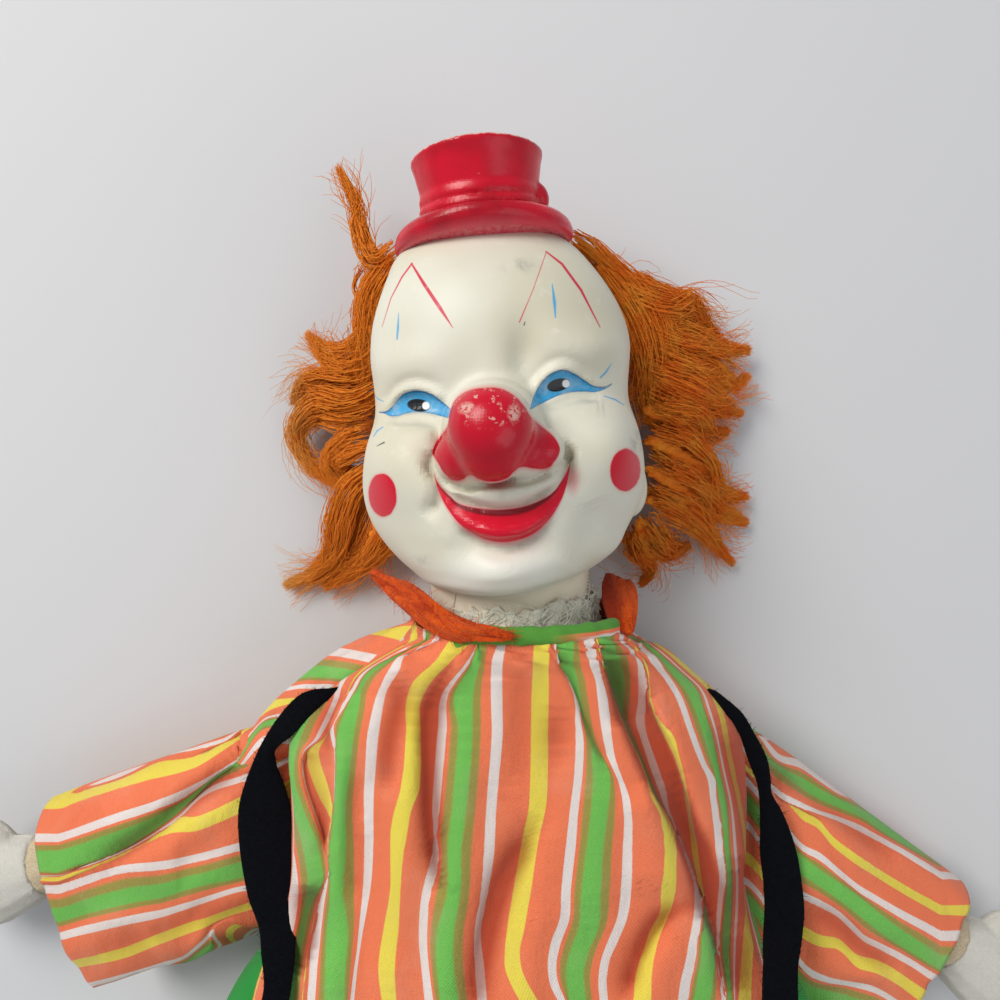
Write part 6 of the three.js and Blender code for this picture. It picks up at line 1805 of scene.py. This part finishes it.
def woolLines(locks, seed):
    chance = random.Random(seed)
    lines = []
    for path, widths, count in locks:
        at = np.linspace(0, 1, len(path))
        wide = spreadOut(widths, len(path))
        over, rise = sidesOf(path)
        ahead = 14 * (path[-1] - path[-4]) / max(np.linalg.norm(path[-1] - path[-4]), 0.1)
        wave, bend = chance.uniform(0, math.tau), chance.uniform(3, 6)
        clumps = [
            (chance.uniform(0, math.tau), math.sqrt(chance.random()) * hair["clumpReach"],
             chance.uniform(-hair["clumpLean"], hair["clumpLean"])) for _ in range(hair["clumps"])
        ]
        for _ in range(int(count * hair["density"])):
            turn, far, lean = clumps[chance.randrange(hair["clumps"])]
            turn += chance.gauss(0, hair["clumpTurn"])
            far += chance.gauss(0, hair["clumpSpread"])
            kind = hair["wild" if chance.random() < hair["wildShare"] else "calm"]
            first = chance.uniform(*kind["first"])
            last = 1.04 - 0.5 * chance.random() ** 2.2
            first = min(first, last - 0.2)
            spot = np.linspace(first, last, hair["points"])
            past = np.maximum(spot - 1, 0)[:, None] * ahead
            base = readAt(spot, at, path) + past * chance.uniform(0.5, 3)
            size = np.interp(spot, at, wide) * far * (1.1 - 0.55 * spot ** 3)
            phase, pace = chance.uniform(0, 7), chance.uniform(4, 11)
            grown = (spot - first) / (last - first)
            drift = chance.gauss(0, kind["drift"]) * grown ** kind["driftPower"]
            curl = kind["curl"] * np.sin(spot * pace + phase) * (0.3 + spot) + 0.9 * np.sin(spot * bend + wave)
            frizz = chance.uniform(*hair["frizz"])
            frizz = frizz * np.sin(spot * chance.uniform(*hair["frizzPace"]) + phase * 3)
            lift = kind["lift"] * np.cos(spot * pace * 0.8 + phase * 2)
            a = size * math.cos(turn) + curl + frizz + lean * spot + drift
            b = size * math.sin(turn) * 0.7 + lift + frizz * 0.6
            line = base + readAt(spot, at, over) * a[:, None] + readAt(spot, at, rise) * b[:, None]
            line[:, 2] = np.maximum(line[:, 2], 0.5)
            lines.append(line)
    return lines


def woolFinish():
    finish = Finish("orange_wool_strands")
    place = finish.place()
    tone = finish.noise(place, 7, 3, 0.6)
    fibre = finish.noise(place, 0.9, 3, 0.7)
    x, y, z = finish.split(place)
    # painted shade: the wool darker low down, deep in the hair
    deep = z.ramp(2, 24, 0.25, 1)
    base = finish.mix(tone.ramp(0.3, 0.7), srgb(255, 118, 10), srgb(255, 158, 44))
    # painted highlights: paler golden fibres scattered through the wool
    base = finish.mix(fibre.ramp(0.5, 0.85) * 0.4, base, srgb(255, 190, 96))
    base = finish.mix((1 - deep) * 0.2, base, srgb(216, 86, 8))
    # painted light: the wool brighter on the left, the side the light comes from
    base = finish.mix(x.below(-38, 8) * 0.8, base, srgb(255, 148, 40))
    paintedLitTips = x.below(-72, 7) * tone.ramp(0.3, 0.6, 0.2, 0.7)  # painted light: paler tips on the lit side
    base = finish.mix(paintedLitTips, base, srgb(255, 196, 108))
    finish.set(
        Base_Color=base, Roughness=0.8, Specular_IOR_Level=0.12,
        Sheen_Weight=0.5, Sheen_Roughness=0.6, Sheen_Tint=(1, 0.42, 0.12, 1),
        Normal=finish.bump(finish.noise(finish.scaled(place, (1, 3, 1)), 1.6, 4, 0.7), 0.9),
    )
    return finish


def woolCore(name, locks, share):  # the matted wool under the strands
    bm = bmesh.new()
    for path, widths, count in locks:
        wide = spreadOut(widths, len(path)) * share
        for spot, size in list(zip(path, wide))[: int(len(path) * 0.8): 2]:
            size = max(size, 0.7)
            spot = (spot[0], spot[1], max(spot[2], size * 0.7 + 0.6))
            shape = Matrix.Translation(spot) @ Matrix.Diagonal((size, size, size * 0.7, 1))
            bmesh.ops.create_icosphere(bm, subdivisions=2, radius=1, matrix=shape)
    bmesh.ops.scale(bm, vec=(mm, mm, mm), verts=bm.verts)
    made = melted(objectFrom(name, bm), hair["coreVoxel"], 3)
    places, normals = placesOf(made.data), normalsOf(made.data)
    ripple = np.sin(places[:, 1] / mm * 1.7 + np.sin(places[:, 0] / mm * 0.5) * 2) * 0.35
    movePoints(made.data, places + normals * (ripple * mm)[:, None])
    return made


wool = woolFinish()
for name, core in (("right", 0.3), ("left", 0.3), ("back", 0.85)):
    locks = backLocks() if name == "back" else sideLocks[name]
    dress(woolCore("wool_core_" + name, locks, core), "head", "orange_wool", wool, "hair_" + name)
    lines = woolLines(locks, hair["seed"] + len(name))
    for start, part in enumerate("abc"):
        strands = strandsFrom("wool_" + name + "_" + part, lines[start::3], hair["radius"])
        dress(strands, "head", "orange_wool", wool, "hair_" + name)
    print("hair", name, len(lines))


# Trousers: a wide seat and two legs in green twill
trousers = {
    "seat": [  # y, half width, front, back, middle
        (-35.5, 70, 22, 27.6, 29.0), (-38, 76.5, 24.6, 28.4, 29.25), (-44, 82.6, 27.0, 28.6, 29.25),
        (-52, 88, 28.4, 28.8, 29.25), (-60, 91.4, 29.0, 28.8, 29.25), (-72, 92.6, 28.8, 28.8, 29.25),
        (-84, 91.6, 27.2, 28.8, 29.25), (-97, 90, 22.5, 28.8, 28.5), (-108, 88, 20.0, 24.6, 25.0),
        (-115, 86.6, 18.4, 20, 20.5),
    ],
    "legs": [  # y, half width, front, back, middle, sideways
        (-101, 36.0, 15.5, 15, 20.5, 42.5), (-112, 39.5, 18.4, 18.2, 20.5, 42.8),
        (-128, 40.6, 19.4, 19.0, 20.5, 43.2), (-170, 40.8, 19.4, 19.0, 20.5, 43.2),
        (-220, 40.2, 19.2, 18.8, 20.5, 43.2), (-262, 39.4, 18.8, 18.4, 20.4, 43.2),
        (-276, 36.2, 17.6, 17.6, 20.4, 43), (-283.6, 33.6, 16.4, 16.6, 20.4, 42.8),
    ],
    "waves": [(3, 0.5, 1.3, 0.6), (5, -0.35, 0.9, 2.1), (9, 0.8, 0.4, 4.0)],
    "thickness": 0.9, "closeFrom": -86, "closeReach": 29, "closeTo": [(20.9, 20.6), (20.1, -19.6)],
    "legAt": 43.2, "legReach": 43, "legMiddle": 20.5,
}


def twillFinish():
    finish = Finish("green_twill_cloth")
    cloth = finish.uv("cloth")
    s, t, _ = finish.split(cloth)
    place = finish.place()
    diagonal = ((s + t) * (math.tau / 0.9)).sine() * 0.5 + 0.5
    fuzz = finish.noise(finish.scaled(cloth, (2, 2, 1)), 1, 3, 0.7)
    cloud = finish.noise(place, 16, 3)
    base = finish.mix(diagonal * (fuzz + 0.4), srgb(14, 132, 44), srgb(44, 176, 74))
    base = finish.mix(cloud.ramp(0.4, 0.8) * 0.3, base, srgb(10, 112, 40))
    finish.set(
        Base_Color=base, Roughness=0.85,
        Normal=finish.bump(diagonal * 0.6 + fuzz * 0.4, 0.18, finish.bump(cloud, 0.8)),
        Sheen_Weight=0.12, Specular_IOR_Level=0.2,
    )
    return finish


twill = twillFinish()


def trouserTube(name, stations, around, along, side, waveScale, hug=False):
    stations = [(*row[:5], side * row[5]) if len(row) > 5 else row for row in stations]
    places, at = ringGrid(stations, around, along, 2.6)
    normals = gridNormals(places, (along // 2, around // 2))
    turn = np.linspace(0, 1, around + 1)[None, :]
    move = sumOfWaves(turn, at[:, None] * 0.06 * side, trousers["waves"]) * waveScale
    move += 0.5 * np.sin(at[:, None] * 0.09 + 2.0 * np.sin(turn * math.tau + side)) * waveScale
    places = places + normals * (move * np.clip(normals[:, :, 2] + 0.65, 0.15, 1))[:, :, None]
    if hug:  # the seat closes round the tops of both legs
        near = np.clip((trousers["closeFrom"] - places[:, :, 1]) / trousers["closeReach"], 0, 1) ** 1.6
        off = np.clip(np.abs((np.abs(places[:, :, 0]) - trousers["legAt"]) / trousers["legReach"]), 0, 1)
        arch = (1 - off ** 2.6) ** (1 / 2.6)
        upper, lower = (start + reach * arch for start, reach in trousers["closeTo"])
        goal = np.where(places[:, :, 2] > trousers["legMiddle"], upper, lower)
        places[:, :, 2] += (goal - places[:, :, 2]) * near
    places[:, :, 2] = np.maximum(places[:, :, 2], 0.5)
    lay = np.stack([girthOf(places), repeatAcross(at, around + 1)], axis=2)
    return clothFrom(name, places, lay, trousers["thickness"])


seatPiece = trouserTube("trouser_seat_cloth", trousers["seat"], 260, 60, 1, 1.0, True)
dress(seatPiece, "torso", "green_twill", twill, "trousers_seat")
for name, side in (("left", 1), ("right", -1)):
    leg = trouserTube("trouser_leg_cloth_" + name, trousers["legs"], 190, 110, side, 1.1)
    dress(leg, None, "green_twill", twill, "trouser_leg_" + name)
    "leg_" + name
    side * 0.0425
    side * 0.0425
    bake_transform(leg)
    "leg_cloth_" + name
print("trousers made")


# Hands, limbs and shoes: the CAD solids' own forms, rounded and finished as sewn cloth and felt
def roundedCopy(name, node, voxel, rounds):
    bm = bmesh.new()
    bm.from_mesh(bpy.data.objects[node].data)
    bm.transform(bpy.data.objects[node].matrix_world)
    return melted(objectFrom(name, bm), voxel, rounds)


stitching = {
    "length": 17, "fade": 4, "apart": 5.6, "width": 0.75, "depth": 1.5, "pace": 3.4,
    "seam": 0.45, "seamWidth": 0.14,
}


# Three stitched lines part the mitten into fingers, and a seam runs round its edge
def sewFingers(made, side):
    start, run, wide = armFrame(1 if side == "left" else -1, sleeve[side + "Drop"])
    places, normals = placesOf(made.data), normalsOf(made.data)
    along, over = ((places / mm - start) @ axis for axis in (run, wide))
    fingers = np.clip((along - (along.max() - stitching["length"])) / stitching["fade"], 0, 1)
    middle = np.median(over[along > along.max() - 14])
    steps = (over - middle - step * stitching["apart"] for step in (-1, 0, 1))
    lines = sum(np.exp(-(step / stitching["width"]) ** 2) for step in steps)
    stitches = 0.75 + 0.25 * np.sin(along * stitching["pace"])
    edge = np.exp(-(normals[:, 2] / stitching["seamWidth"]) ** 2) * stitching["seam"]
    press = stitching["depth"] * fingers * lines * stitches * (np.abs(normals[:, 2]) > 0.3)
    movePoints(made.data, places + normals * ((edge - press) * mm)[:, None])


whiteFelt = feltFinish("white_felt_cloth", srgb(222, 218, 206), srgb(240, 238, 230))
soleFelt = feltFinish("sole_felt_cloth", srgb(196, 176, 138), srgb(218, 200, 164))
for side in ("left", "right"):
    mitten = roundedCopy("hand_mitten_" + side, "hand_" + side, 0.7, 10)
    sewFingers(mitten, side)
    dress(mitten, "arm_" + side, "white_felt", whiteFelt, "hand_" + side)
    for kind, voxel in (("arm", 0.9), ("leg", 1.0)):
        cover = kind + "_cover_" + side
        limb = roundedCopy(kind + "_cloth_" + side, cover, voxel, 6)
        dress(limb, kind + "_" + side, "body_muslin", muslin, cover)
    shoe = roundedCopy("shoe_felt_" + side, "shoe_upper_" + side, 1.0, 8)
    dress(shoe, "leg_" + side, "black_felt", blackFelt, "shoe_upper_" + side)
    sole = roundedCopy("shoe_sole_felt_" + side, "shoe_sole_" + side, 0.7, 4)
    dress(sole, "leg_" + side, "sole_felt", soleFelt, "shoe_sole_" + side)

# The CAD solids that stay, inside the clothes
for node, finish in (
    ("torso_cover", muslin), ("torso_stuffing", filling), ("arm_stuffing_left", filling),
    ("arm_stuffing_right", filling),
    ("leg_stuffing_left", filling), ("leg_stuffing_right", filling), ("neck_tie_cord", cordFinish),
    ("waistband", twill),
):
    bpy.data.objects[node].material_slots[0].material = finish.material
print("limbs made")

# Floor
floorBm = bmesh.new()
bmesh.ops.create_grid(floorBm, x_segments=2, y_segments=2, size=3)
floor = objectFrom("floor", floorBm)
floorFinish = Finish("floor")
floorFinish.set(Base_Color=(0.62, 0.62, 0.63), Roughness=0.9)
floor.data.materials.append(floorFinish.material)
floor.location.z = -0.0005
